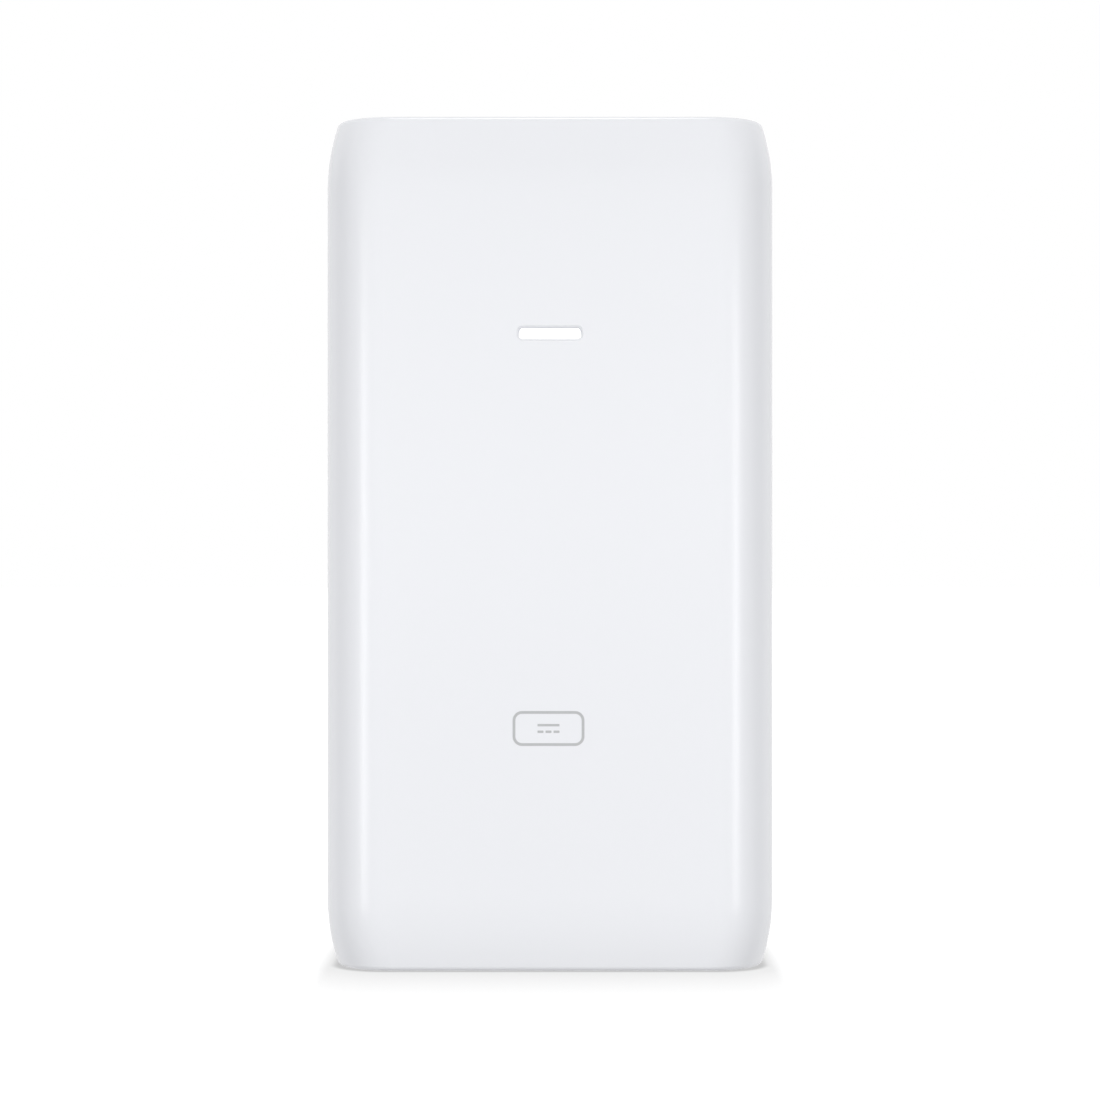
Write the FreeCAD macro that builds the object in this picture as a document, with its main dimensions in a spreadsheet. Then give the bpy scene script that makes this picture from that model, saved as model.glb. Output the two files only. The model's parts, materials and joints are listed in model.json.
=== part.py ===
"""Compact power-over-Ethernet injector with a slide-on wall bracket, in millimetres.

The housing stands on its lower end. The origin is the centre of that end, +Z is up
and the front face looks towards -Y. Two modular jacks open downwards through the lower
end, and a three-pin mains inlet opens upwards through the upper end.
"""
import FreeCAD, Part
import math
import os
from types import SimpleNamespace

import Sketcher

OUTPUT_FOLDER = "parts"

# Driving sizes in millimetres, or plain counts. Each is one cell of the sheet.
HOUSING = {
    "body_width": 45.4,
    "body_depth": 34.0,
    "body_height": 86.0,
    "end_taper": 1.1,             # how far each side draws in at the ends
    "taper_length": 7.0,
    "front_edge_radius": 6.0,
    "back_edge_radius": 4.0,
    "rim_radius": 0.7,
    "wall": 2.0,
    "back_cover_depth": 7.2,      # back face to the parting line
    "parting_gap": 0.2,
    "edge_break": 0.25,           # the bevel round each opening
    "lip_length": 2.0,
    "lip_clearance": 0.08,
    "snap_length": 6.0,
    "snap_width": 1.0,
    "snap_height": 0.4,
    "snap_spread": 34.0,          # between the two snaps on one side
    "snap_clearance": 0.1,
    "window_width": 6.3,
    "window_height": 1.2,
    "window_corner": 0.4,
    "window_edge_break": 0.18,
    "window_above_floor": 64.1,
}
PORTS = {
    "jack_pitch": 18.0,
    "jack_width": 15.9,
    "jack_depth": 13.2,           # front to back, across the plug
    "jack_length": 20.0,          # along the plug
    "shield_sheet": 0.25,
    "shield_clearance": 0.05,
    "insert_length": 16.0,
    "plug_width": 11.8,
    "plug_depth": 6.8,
    "plug_length": 13.0,
    "plug_side_wall": 2.3,        # contact-side wall, shield included
    "latch_width": 6.2,
    "latch_depth": 1.5,
    "latch_key_width": 3.4,
    "latch_key_depth": 1.5,
    "contact_count": 8,
    "contact_pitch": 1.02,
    "contact_size": 0.4,
    "contact_slot": 0.66,
    "contact_reach": 8.6,         # pivot to the free tip
    "contact_angle": 22.0,        # degrees off the wall at rest
    "contact_gap": 0.1,
    "contact_comb_rise": 2.6,
    "contact_comb_length": 4.4,
    "contact_row_pitch": 1.4,     # between the two rows of board pins
    "port_lap": 0.6,              # how much the end wall covers each jack's rim
    "port_corner": 0.8,
}
INLET = {
    "inlet_width": 19.5,
    "inlet_depth": 16.6,
    "inlet_length": 17.0,
    "inlet_corner": 3.0,
    "inlet_lap": 1.0,             # how much the end wall covers the inlet's rim
    "inlet_recess": 12.5,
    "inlet_lobe_radius": 4.1,
    "inlet_centre_radius": 4.0,
    "inlet_pin_radius": 1.2,
    "inlet_pin_spread": 7.4,
    "inlet_earth_rise": 2.4,
    "inlet_line_drop": 2.0,
    "inlet_pin_set_back": 1.5,
    "inlet_pin_clearance": 0.03,
    "inlet_tail": 1.0,
}
BOARD = {
    "board_width": 38.0,
    "board_length": 80.0,
    "board_thickness": 1.6,
    "boss_height": 2.4,           # back cover's inner face to the board
    "boss_radius": 2.4,
    "pilot_radius": 0.85,
    "pilot_depth": 3.6,
    "screw_radius": 0.8,
    "screw_length": 5.0,
    "screw_head_radius": 1.8,
    "screw_head_height": 1.3,
    "screw_slot_width": 0.45,
    "screw_slot_length": 1.8,
    "screw_slot_depth": 0.6,
    "screw_hole_radius": 1.15,
    "sheet_thickness": 0.4,
    "sheet_margin": 1.2,
    "solder_radius": 0.75,
    "solder_height": 0.9,
}
BRACKET = {
    "bracket_width": 30.0,
    "bracket_height": 46.0,
    "bracket_thickness": 2.5,
    "bracket_corner": 3.0,
    "bracket_above_floor": 22.0,
    "bracket_gap": 0.2,           # to the recess floor
    "bracket_set_back": 0.3,      # below the housing's back face
    "bracket_side_gap": 0.4,
    "bracket_travel": 8.0,
    "recess_floor": 2.0,          # wall left behind the recess
    "tab_reach": 1.2,
    "tab_length": 7.0,
    "tab_thickness": 1.2,
    "tab_first": 4.0,             # above the bracket's lower edge
    "tab_spread": 28.0,
    "wall_hole_radius": 2.1,
    "wall_hole_spread": 24.0,
    "wall_hole_first": 16.0,
    "countersink_radius": 3.6,
    "tongue_width": 11.0,
    "tongue_length": 10.0,
    "tongue_slot": 1.0,
    "tongue_margin": 2.4,
    "ridge_count": 4,
    "ridge_pitch": 1.9,
    "ridge_width": 0.8,
    "ridge_length": 8.0,
    "detent_radius": 1.2,
    "detent_height": 0.6,
    "detent_clearance": 0.3,
}
LIGHT = {
    "pipe_clearance": 0.06,
    "pipe_set_back": 0.25,
    "pipe_flange_lap": 1.3,
    "pipe_flange_thickness": 1.0,
    "pipe_rod_radius": 1.3,
    "led_width": 3.0,
    "led_length": 1.4,
    "led_height": 0.8,
    "led_corner": 0.3,
    "led_gap": 0.2,
}
COMPONENTS = {
    "lead_radius": 0.35,
    "lead_spread": 5.0,
    "block_corner": 0.4,
    "package_lead_thickness": 0.25,
    "package_lead_width": 0.45,
    "package_lead_reach": 0.9,
    "package_lead_foot": 0.55,
    "package_stand_off": 0.1,
    "can_rim": 0.5,
    "can_groove": 0.35,
    "disc_rim": 0.9,
    "disc_stand_off": 1.4,
    "fuse_radius": 4.2,
    "fuse_height": 8.0,
    "thermistor_radius": 4.0,
    "thermistor_thickness": 4.4,
    "varistor_radius": 4.3,
    "varistor_thickness": 4.4,
    "film_width": 6.0,
    "film_length": 12.6,
    "film_height": 11.5,
    "choke_width": 13.6,
    "choke_length": 11.6,
    "choke_height": 13.0,
    "choke_leg": 3.4,
    "choke_winding": 1.4,
    "choke_split": 1.2,
    "bridge_width": 8.2,
    "bridge_length": 6.2,
    "bridge_height": 3.4,
    "bulk_radius": 4.1,
    "bulk_height": 16.0,
    "output_can_radius": 3.9,
    "output_can_height": 12.0,
    "transistor_width": 10.2,
    "transistor_thickness": 4.5,
    "transistor_body_height": 9.2,
    "transistor_tab_height": 5.8,
    "transistor_tab_thickness": 1.3,
    "transistor_stand_off": 1.6,
    "transistor_leg": 0.8,
    "transistor_leg_pitch": 2.54,
    "heatsink_width": 16.0,
    "heatsink_thickness": 1.6,
    "heatsink_height": 18.0,
    "heatsink_screw_radius": 1.4,
    "heatsink_screw_head": 2.6,
    "core_width": 19.0,
    "core_length": 13.0,
    "core_height": 15.4,
    "core_yoke": 3.2,
    "core_leg": 5.0,
    "bobbin_flange": 1.0,
    "bobbin_overhang": 2.6,
    "bobbin_foot": 2.0,
    "bobbin_wall": 0.6,
    "winding_margin": 0.9,
    "fit_gap": 0.05,
    "disc_capacitor_radius": 4.0,
    "disc_capacitor_thickness": 3.2,
    "diode_radius": 2.5,
    "diode_length": 9.0,
    "diode_wire": 0.5,
    "drum_radius": 2.6,
    "drum_height": 8.0,
    "drum_flange": 1.4,
    "drum_waist": 1.3,
    "magnetics_width": 12.7,
    "magnetics_length": 4.4,
    "magnetics_height": 5.6,
    "magnetics_pitch": 1.27,
    "magnetics_leads": 8,         # on each side
    "optocoupler_width": 4.4,
    "optocoupler_length": 4.2,
    "optocoupler_height": 1.7,
    "optocoupler_pitch": 2.54,
    "optocoupler_leads": 2,
    "chip_width": 5.0,
    "chip_length": 4.0,
    "chip_height": 1.5,
    "chip_pitch": 1.27,
    "chip_leads": 4,
}
# Where each component's middle stands on the board: across from its centre line, and up.
PLACES = {
    "screw_side": 16.7,
    "low_screws_up": 25.9,
    "left_screw_up": 65.9,
    "right_screw_up": 60.7,
    "fuse_side": 14.6,
    "fuse_up": 78.4,
    "thermistor_up": 70.6,
    "varistor_up": 79.3,
    "film_side": 14.4,
    "film_up": 69.2,
    "choke_side": 11.6,
    "choke_up": 57.3,
    "bridge_side": 6.2,
    "bridge_up": 61.5,
    "left_bulk_side": 2.4,
    "right_bulk_side": 14.4,
    "bulk_up": 54.0,
    "switch_side": 11.0,
    "heatsink_up": 48.0,
    "transformer_side": 8.9,
    "transformer_up": 38.5,
    "disc_side": 12.0,
    "disc_up": 49.6,
    "diode_side": 12.6,
    "diode_up": 40.8,
    "drum_side": 3.8,
    "drum_up": 41.2,
    "left_can_side": 5.6,
    "right_can_side": 14.2,
    "cans_up": 34.2,
    "magnetics_side": 7.9,
    "magnetics_up": 26.0,
    "optocoupler_side": 0.2,
    "optocoupler_up": 38.0,
    "chip_side": 5.4,
    "chip_up": 55.0,
}

FLAT = 0.001                      # how near two places count as the same
BEVEL_ANGLE = 45                  # degrees
LEFT, RIGHT = -1, 1
SIDES = (LEFT, RIGHT)


class Size:
    """A length together with the sheet expression that gives it."""

    def __init__(self, value, text):
        self.value = float(value)
        self.text = text

    def __add__(self, other):
        other = as_size(other)
        return Size(self.value + other.value, f"({self.text} + {other.text})")

    def __sub__(self, other):
        other = as_size(other)
        return Size(self.value - other.value, f"({self.text} - {other.text})")

    def __mul__(self, other):
        other = as_size(other)
        return Size(self.value * other.value, f"({self.text} * {other.text})")

    def __truediv__(self, other):
        other = as_size(other)
        return Size(self.value / other.value, f"({self.text} / {other.text})")

    def __neg__(self):
        return self * -1

    __radd__ = __add__
    __rmul__ = __mul__

    def __rsub__(self, other):
        return as_size(other) - self


def as_size(number):
    """The number itself when it is a size already, or a fixed one."""
    if isinstance(number, Size):
        return number
    return Size(number, f"({number})")


def sine(angle):
    return Size(math.sin(math.radians(angle.value)), f"sin({angle.text} * 1deg)")


def cosine(angle):
    return Size(math.cos(math.radians(angle.value)), f"cos({angle.text} * 1deg)")


document = FreeCAD.newDocument("injector")
sheet = document.addObject("Spreadsheet::Sheet", "Sizes")


def fill_sheet(groups):
    """Put every driving size in a cell with an alias, and return them by name."""
    sizes = {}
    row = 1
    for group in groups:
        for name, number in group.items():
            sheet.set(f"A{row}", name)
            sheet.set(f"B{row}", str(number))
            sheet.setAlias(f"B{row}", name)
            sizes[name] = Size(number, f"Sizes.{name}")
            row += 1
    document.recompute()
    return SimpleNamespace(**sizes)


size = fill_sheet((HOUSING, PORTS, INLET, BOARD, BRACKET, LIGHT, COMPONENTS, PLACES))
sub_parts = []


def vector(x, y, z=0.0):
    return FreeCAD.Vector(as_size(x).value, as_size(y).value, as_size(z).value)


def bind(item, **properties):
    """Bind each property of a document object to its size."""
    for name, length in properties.items():
        item.setExpression(name, as_size(length).text)


def put(item, x, y, z):
    """Bind the place of a document object."""
    for axis, length in zip("xyz", (x, y, z)):
        item.setExpression(f".Placement.Base.{axis}", as_size(length).text)


def keep(item, label):
    """Name a finished sub-part."""
    item.Label = label
    sub_parts.append(item)
    return item


def around(middle, width):
    """The span of the given width about a middle."""
    return (middle - width / 2, middle + width / 2)


def from_low(low, length):
    return (low, low + length)


def from_high(high, length):
    return (high - length, high)


def box(name, x, y, z):
    """A plain block between three pairs of bounds."""
    block = document.addObject("Part::Box", name)
    bind(block, Length=x[1] - x[0], Width=y[1] - y[0], Height=z[1] - z[0])
    put(block, x[0], y[0], z[0])
    return block


TURNS = {
    "X": FreeCAD.Rotation(FreeCAD.Vector(0, 1, 0), 90),
    "Y": FreeCAD.Rotation(FreeCAD.Vector(1, 0, 0), -90),
    "-Y": FreeCAD.Rotation(FreeCAD.Vector(1, 0, 0), 90),
    "Z": FreeCAD.Rotation(),
}


def rod(name, along, start, length, radius):
    """A round bar from a start point, along an axis."""
    cylinder = document.addObject("Part::Cylinder", name)
    cylinder.Placement = FreeCAD.Placement(FreeCAD.Vector(), TURNS[along])
    bind(cylinder, Radius=radius, Height=length)
    put(cylinder, *start)
    return cylinder


def cone(name, along, start, length, radius, end_radius):
    """A round taper from a start point, along an axis."""
    taper = document.addObject("Part::Cone", name)
    taper.Placement = FreeCAD.Placement(FreeCAD.Vector(), TURNS[along])
    bind(taper, Radius1=radius, Radius2=end_radius, Height=length)
    put(taper, *start)
    return taper


def fuse(name, pieces):
    joined = document.addObject("Part::MultiFuse", name)
    joined.Shapes = pieces
    return joined


def cut(name, base, tools):
    """The base with one tool, or several joined, taken away."""
    difference = document.addObject("Part::Cut", name)
    difference.Base = base
    difference.Tool = tools[0] if len(tools) == 1 else fuse(name + "_tools", tools)
    return difference


def common(name, first, second):
    shared = document.addObject("Part::Common", name)
    shared.Base = first
    shared.Tool = second
    return shared


def group(name, pieces):
    """Separate solids of one kind, kept together."""
    compound = document.addObject("Part::Compound", name)
    compound.Links = pieces
    return compound


def new_body(name):
    return document.addObject("PartDesign::Body", name)


def new_sketch(body, name, plane):
    """A sketch on one of the body's own origin planes."""
    sketch = body.newObject("Sketcher::SketchObject", name)
    planes = {feature.Role: feature for feature in body.Origin.OriginFeatures}
    sketch.AttachmentSupport = [(planes[plane], "")]
    sketch.MapMode = "FlatFace"
    return sketch


def hold(sketch, name, constraint, length):
    """Add a constraint whose value is a size."""
    number = sketch.addConstraint(constraint)
    sketch.renameConstraint(number, name)
    sketch.setExpression(f"Constraints.{name}", as_size(length).text)


def draw_outline(sketch, points):
    """Draw a closed outline of straight lines, each corner held to its sizes."""
    count = len(points)
    for index, point in enumerate(points):
        following = points[(index + 1) % count]
        sketch.addGeometry(Part.LineSegment(vector(*point), vector(*following)), False)
    for index in range(count):
        sketch.addConstraint(Sketcher.Constraint("Coincident", index, 2, (index + 1) % count, 1))
    for index, point in enumerate(points):
        for axis, number, zero_line in (("X", point[0], -2), ("Y", point[1], -1)):
            if not isinstance(number, Size):
                sketch.addConstraint(Sketcher.Constraint("PointOnObject", index, 1, zero_line))
                continue
            kind = "Distance" + axis
            constraint = Sketcher.Constraint(kind, -1, 1, index, 1, number.value)
            hold(sketch, f"corner_{index}_{axis.lower()}", constraint, number)


def draw_rounded(sketch, width, height, radius):
    """Draw a rectangle with round corners about the sketch's origin."""
    half_width = width.value / 2
    half_height = height.value / 2
    corner = radius.value
    straight_x = half_width - corner
    straight_y = half_height - corner
    corners = ((1, -1, -90), (1, 1, 0), (-1, 1, 90), (-1, -1, 180))
    lines = (
        ((-straight_x, -half_height), (straight_x, -half_height)),
        ((half_width, -straight_y), (half_width, straight_y)),
        ((straight_x, half_height), (-straight_x, half_height)),
        ((-half_width, straight_y), (-half_width, -straight_y)),
    )
    for line, (side_x, side_y, start) in zip(lines, corners):
        sketch.addGeometry(Part.LineSegment(vector(*line[0]), vector(*line[1])), False)
        centre = vector(side_x * straight_x, side_y * straight_y)
        circle = Part.Circle(centre, FreeCAD.Vector(0, 0, 1), corner)
        start_angle = math.radians(start)
        arc = Part.ArcOfCircle(circle, start_angle, start_angle + math.pi / 2)
        sketch.addGeometry(arc, False)
    for index in range(8):
        sketch.addConstraint(Sketcher.Constraint("Tangent", index, 2, (index + 1) % 8, 1))
    sketch.addConstraint(Sketcher.Constraint("Horizontal", 4))
    sketch.addConstraint(Sketcher.Constraint("Vertical", 6))
    for arc in (3, 5, 7):
        sketch.addConstraint(Sketcher.Constraint("Equal", 1, arc))
    sketch.addConstraint(Sketcher.Constraint("Symmetric", 0, 1, 0, 2, -2))
    sketch.addConstraint(Sketcher.Constraint("Symmetric", 2, 1, 2, 2, -1))
    hold(sketch, "corner", Sketcher.Constraint("Radius", 1, corner), radius)
    across = Sketcher.Constraint("DistanceX", 6, 1, 2, 1, 2 * half_width)
    hold(sketch, "width", across, width)
    upwards = Sketcher.Constraint("DistanceY", 0, 1, 4, 1, 2 * half_height)
    hold(sketch, "height", upwards, height)


def rounded_block(name, along, x, y, z, radius, flare=0):
    """A block whose four edges along Y or Z are rounded; a flare widens it, in degrees."""
    body = new_body(name)
    sketch = new_sketch(body, name + "_outline", "XZ_Plane" if along == "Y" else "XY_Plane")
    rise, height = (y, z) if along == "Y" else (z, y)
    draw_rounded(sketch, x[1] - x[0], height[1] - height[0], radius)
    pad = body.newObject("PartDesign::Pad", name + "_pad")
    pad.Profile = sketch
    pad.Reversed = along == "Y"
    pad.TaperAngle = flare
    bind(pad, Length=rise[1] - rise[0])
    middle_x = (x[0] + x[1]) / 2
    middle = (height[0] + height[1]) / 2
    if along == "Y":
        put(body, middle_x, rise[0], middle)
    else:
        put(body, middle_x, middle, rise[0])
    return body


def mouth_bevel(name, along, x, across, face, inward, radius, reach):
    """The cutter for a bevel round an opening's outer edge, in the face it opens through."""
    rise = around(face, reach * 2)
    flare = -BEVEL_ANGLE * inward
    if inward > 0:
        x = (x[0] - reach * 2, x[1] + reach * 2)
        across = (across[0] - reach * 2, across[1] + reach * 2)
        radius = radius + reach * 2
    y, z = (rise, across) if along == "Y" else (across, rise)
    return rounded_block(name, along, x, y, z, radius, flare)


def side_profile(name, points, thickness, x):
    """A flat outline in Y and Z, given its thickness about one place in X."""
    body = new_body(name)
    sketch = new_sketch(body, name + "_outline", "YZ_Plane")
    draw_outline(sketch, points)
    pad = body.newObject("PartDesign::Pad", name + "_pad")
    pad.Profile = sketch
    pad.SideType = "Symmetric"
    bind(pad, Length=thickness)
    put(body, x, 0, 0)
    return body


def repeat_across(body, feature, name, pitch, count):
    """Repeat a body's feature along X."""
    pattern = body.newObject("PartDesign::LinearPattern", name)
    pattern.Originals = [feature]
    axis = {item.Role: item for item in body.Origin.OriginFeatures}["X_Axis"]
    pattern.Direction = (axis, [""])
    bind(pattern, Length=pitch * (count - 1))
    pattern.Occurrences = int(count.value)
    body.Tip = pattern


def edges_where(feature, test):
    """The names of a feature's edges that pass a test."""
    edges = enumerate(feature.Shape.Edges, start=1)
    return [f"Edge{number}" for number, edge in edges if test(edge.BoundBox)]


def round_edges(body, feature, name, radius, test):
    """Round the edges of a body's last feature that pass a test."""
    document.recompute()
    fillet = body.newObject("PartDesign::Fillet", name)
    fillet.Base = (feature, edges_where(feature, test))
    bind(fillet, Radius=radius)
    return fillet


# Places that several sub-parts share.
front = size.body_depth / -2
back = size.body_depth / 2
inner_front = front + size.wall
inner_top = size.body_height - size.wall
parting = back - size.back_cover_depth
bracket_outer = back - size.bracket_set_back
bracket_inner = bracket_outer - size.bracket_thickness
recess_face = bracket_inner - size.bracket_gap
cover_inner = recess_face - size.recess_floor
board_back = cover_inner - size.boss_height
board_face = board_back - size.board_thickness
board_low = (size.body_height - size.board_length) / 2

jack_mouth = size.wall + size.shield_clearance
jack_front = board_face - size.jack_depth
cavity_front = jack_front + size.plug_side_wall
inlet_face = inner_top - size.shield_clearance
inlet_low = inlet_face - size.inlet_length
inlet_front = board_face - size.inlet_depth
inlet_middle = (inlet_front + board_face) / 2

recess_x = around(as_size(0), size.bracket_width + size.bracket_side_gap * 2)
bracket_z = from_low(size.bracket_above_floor, size.bracket_height)
recess_z = (bracket_z[0] - size.bracket_travel - size.bracket_side_gap,
            bracket_z[1] + size.bracket_side_gap)
tab_lows = [bracket_z[0] + size.tab_first,
            bracket_z[0] + size.tab_first + size.tab_spread]
tab_y = from_low(bracket_inner, size.tab_thickness)
tongue_low = bracket_z[0] + size.tongue_margin
detent_up = tongue_low + size.tongue_length - size.detent_radius * 2

board_screws_at = [
    (-size.screw_side, size.low_screws_up),
    (size.screw_side, size.low_screws_up),
    (-size.screw_side, size.left_screw_up),
    (size.screw_side, size.right_screw_up),
]
solder_spots = []


def draw_tapered(sketch, width, height, arc_radius, taper):
    """Draw an upright outline whose long sides curve in towards both ends."""
    arc = arc_radius.value
    side = width.value / 2
    end = height.value / 2
    straight = end - taper.value
    drop = arc - math.sqrt(arc * arc - taper.value * taper.value)
    turn = math.asin(taper.value / arc)

    def side_arc(way_x, way_y):
        centre = vector(way_x * (side - arc), way_y * straight)
        circle = Part.Circle(centre, FreeCAD.Vector(0, 0, 1), arc)
        middle = 0 if way_x > 0 else math.pi
        if way_x * way_y > 0:
            return Part.ArcOfCircle(circle, middle, middle + turn)
        return Part.ArcOfCircle(circle, middle - turn, middle)

    sketch.addGeometry([
        Part.LineSegment(vector(drop - side, -end), vector(side - drop, -end)),
        side_arc(1, -1),
        Part.LineSegment(vector(side, -straight), vector(side, straight)),
        side_arc(1, 1),
        Part.LineSegment(vector(side - drop, end), vector(drop - side, end)),
        side_arc(-1, 1),
        Part.LineSegment(vector(-side, straight), vector(-side, -straight)),
        side_arc(-1, -1),
    ], False)
    for index, kind in enumerate(("Coincident", "Tangent", "Tangent", "Coincident") * 2):
        constraint = Sketcher.Constraint(kind, index, 2, (index + 1) % 8, 1)
        sketch.addConstraint(constraint)
    for constraint in (
        Sketcher.Constraint("Vertical", 2),
        Sketcher.Constraint("Vertical", 6),
        Sketcher.Constraint("Symmetric", 0, 1, 0, 2, -2),
        Sketcher.Constraint("Symmetric", 4, 1, 4, 2, -2),
        Sketcher.Constraint("Symmetric", 0, 2, 4, 1, -1),
        Sketcher.Constraint("Symmetric", 2, 1, 6, 2, -2),
        Sketcher.Constraint("Equal", 1, 3),
        Sketcher.Constraint("Equal", 5, 7),
    ):
        sketch.addConstraint(constraint)
    hold(sketch, "width", Sketcher.Constraint("DistanceX", 6, 2, 2, 1, 2 * side), width)
    hold(sketch, "height", Sketcher.Constraint("DistanceY", 0, 2, 4, 1, 2 * end), height)
    hold(sketch, "arc", Sketcher.Constraint("Radius", 1, arc), arc_radius)
    hold(sketch, "taper", Sketcher.Constraint("DistanceY", 1, 1, 1, 2, taper.value), taper)


def housing_form(name, inset):
    """The housing's solid form, drawn in by the same inset on every side."""
    width = size.body_width - inset * 2
    depth = size.body_depth - inset * 2
    height = size.body_height - inset * 2
    taper = size.taper_length - inset
    outer_arc = (size.taper_length * size.taper_length + size.end_taper * size.end_taper)
    arc_radius = outer_arc / (size.end_taper * 2) - inset
    body = new_body(name)
    front_view = new_sketch(body, name + "_front_view", "XZ_Plane")
    draw_tapered(front_view, width, height, arc_radius, taper)
    pad = body.newObject("PartDesign::Pad", name + "_pad")
    pad.Profile = front_view
    pad.SideType = "Symmetric"
    bind(pad, Length=depth)
    side_view = new_sketch(body, name + "_side_view", "YZ_Plane")
    draw_tapered(side_view, depth, height, arc_radius, taper)
    surround = size.body_height
    corners = ((-surround, -surround), (surround, -surround),
               (surround, surround), (-surround, surround))
    first = side_view.GeometryCount
    for index, corner in enumerate(corners):
        following = corners[(index + 1) % 4]
        side_view.addGeometry(Part.LineSegment(vector(*corner), vector(*following)), False)
    for index, corner in enumerate(corners):
        line = first + index
        following = first + (index + 1) % 4
        side_view.addConstraint(Sketcher.Constraint("Coincident", line, 2, following, 1))
        for axis, number in zip("XY", corner):
            constraint = Sketcher.Constraint("Distance" + axis, -1, 1, line, 1, number.value)
            hold(side_view, f"surround_{index}_{axis.lower()}", constraint, number)
    trim = body.newObject("PartDesign::Pocket", name + "_side_trim")
    trim.Profile = side_view
    trim.SideType = "Symmetric"
    trim.Type = "ThroughAll"

    def long_edge(bounds):
        upright = bounds.XLength < FLAT and bounds.YLength < FLAT
        return upright and bounds.ZLength > height.value / 2

    last = trim
    edge_sets = (
        ("front_edges", size.front_edge_radius, lambda b: long_edge(b) and b.YMin < 0),
        ("back_edges", size.back_edge_radius,
         lambda b: long_edge(b) and b.YMin > depth.value / 2 - FLAT),
    )
    for edge_name, radius, test in edge_sets:
        last = round_edges(body, last, f"{name}_{edge_name}", radius - inset, test)
    put(body, 0, 0, size.body_height / 2)
    return body, last


def end_rims(bounds):
    """The edges that run round the two flat ends."""
    middle = bounds.Center.z
    return bounds.ZLength < FLAT and abs(abs(middle) - size.body_height.value / 2) < FLAT


def wall_ring(name, outer_inset, y):
    """A band of the wall, from an inset to the inner face, between two depths."""
    outer, _ = housing_form(name + "_outer", outer_inset)
    inner, _ = housing_form(name + "_inner", size.wall)
    span = size.body_height
    slab = box(name + "_slab", around(as_size(0), span), y, around(span / 2, span * 2))
    return common(name, cut(name + "_ring", outer, [inner]), slab)


def snap_blocks(name, reach, margin, y):
    """Four small blocks on the lip's two sides, larger by a margin each way."""
    lip_side = size.body_width / 2 - size.wall / 2 - size.lip_clearance
    blocks = []
    for side in SIDES:
        for end in SIDES:
            middle = size.body_height / 2 + size.snap_spread / 2 * end
            span = (lip_side - size.wall / 4, lip_side + reach)
            x = span if side == RIGHT else (-span[1], -span[0])
            z = around(middle, size.snap_length + margin * 2)
            blocks.append(box(f"{name}_{side}_{end}", x, (y[0] - margin, y[1] + margin), z))
    return blocks


snap_y = around(parting - size.lip_length / 2, size.snap_width)


def port_cuts(name, x_middle):
    """The opening in the lower end wall in front of one jack, and its bevel."""
    x = around(x_middle, size.jack_width - size.port_lap * 2)
    y = (jack_front + size.port_lap, board_face - size.port_lap)
    z = around(as_size(0), size.wall * 4)
    return [
        rounded_block(name, "Z", x, y, z, size.port_corner),
        mouth_bevel(name + "_bevel", "Z", x, y, as_size(0), 1, size.port_corner,
                    size.edge_break),
    ]


def make_front_shell():
    """The deep half of the housing: front, sides and both end walls."""
    outer, last = housing_form("front_form", as_size(0))
    round_edges(outer, last, "front_form_rims", size.rim_radius, end_rims)
    inner, _ = housing_form("front_hollow", size.wall)
    hollow = cut("front_hollowed", outer, [inner])
    span = size.body_height
    keep_y = (front * 2, parting - size.parting_gap / 2)
    half = box("front_half", around(as_size(0), span), keep_y, around(span / 2, span * 2))
    shell = common("front_open_shell", hollow, half)
    rebate_y = (parting - size.lip_length - size.lip_clearance, parting + size.wall)
    rebate = wall_ring("front_rebate", size.wall / 2, rebate_y)
    window_z = around(size.window_above_floor, size.window_height)
    window_y = (front - size.wall, inner_front + size.wall / 2)
    window_x = around(as_size(0), size.window_width)
    window = rounded_block("front_window", "Y", window_x, window_y, window_z,
                           size.window_corner)
    window_bevel = mouth_bevel("front_window_bevel", "Y", window_x, window_z, front, 1,
                               size.window_corner, size.window_edge_break)
    ports = [tool for side in SIDES
             for tool in port_cuts(f"front_port_{side}", size.jack_pitch / 2 * side)]
    inlet_x = around(as_size(0), size.inlet_width - size.inlet_lap * 2)
    inlet_y = around(inlet_middle, size.inlet_depth - size.inlet_lap * 2)
    inlet_z = around(size.body_height, size.wall * 4)
    inlet = rounded_block("front_inlet", "Z", inlet_x, inlet_y, inlet_z, size.inlet_corner)
    inlet_bevel = mouth_bevel("front_inlet_bevel", "Z", inlet_x, inlet_y, size.body_height, -1,
                              size.inlet_corner, size.edge_break)
    snaps = snap_blocks("front_snap", size.snap_height + size.snap_clearance,
                        size.snap_clearance, snap_y)
    tools = [rebate, window, window_bevel, inlet, inlet_bevel] + ports + snaps
    keep(cut("front_shell_solid", shell, tools), "front_shell")


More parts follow.
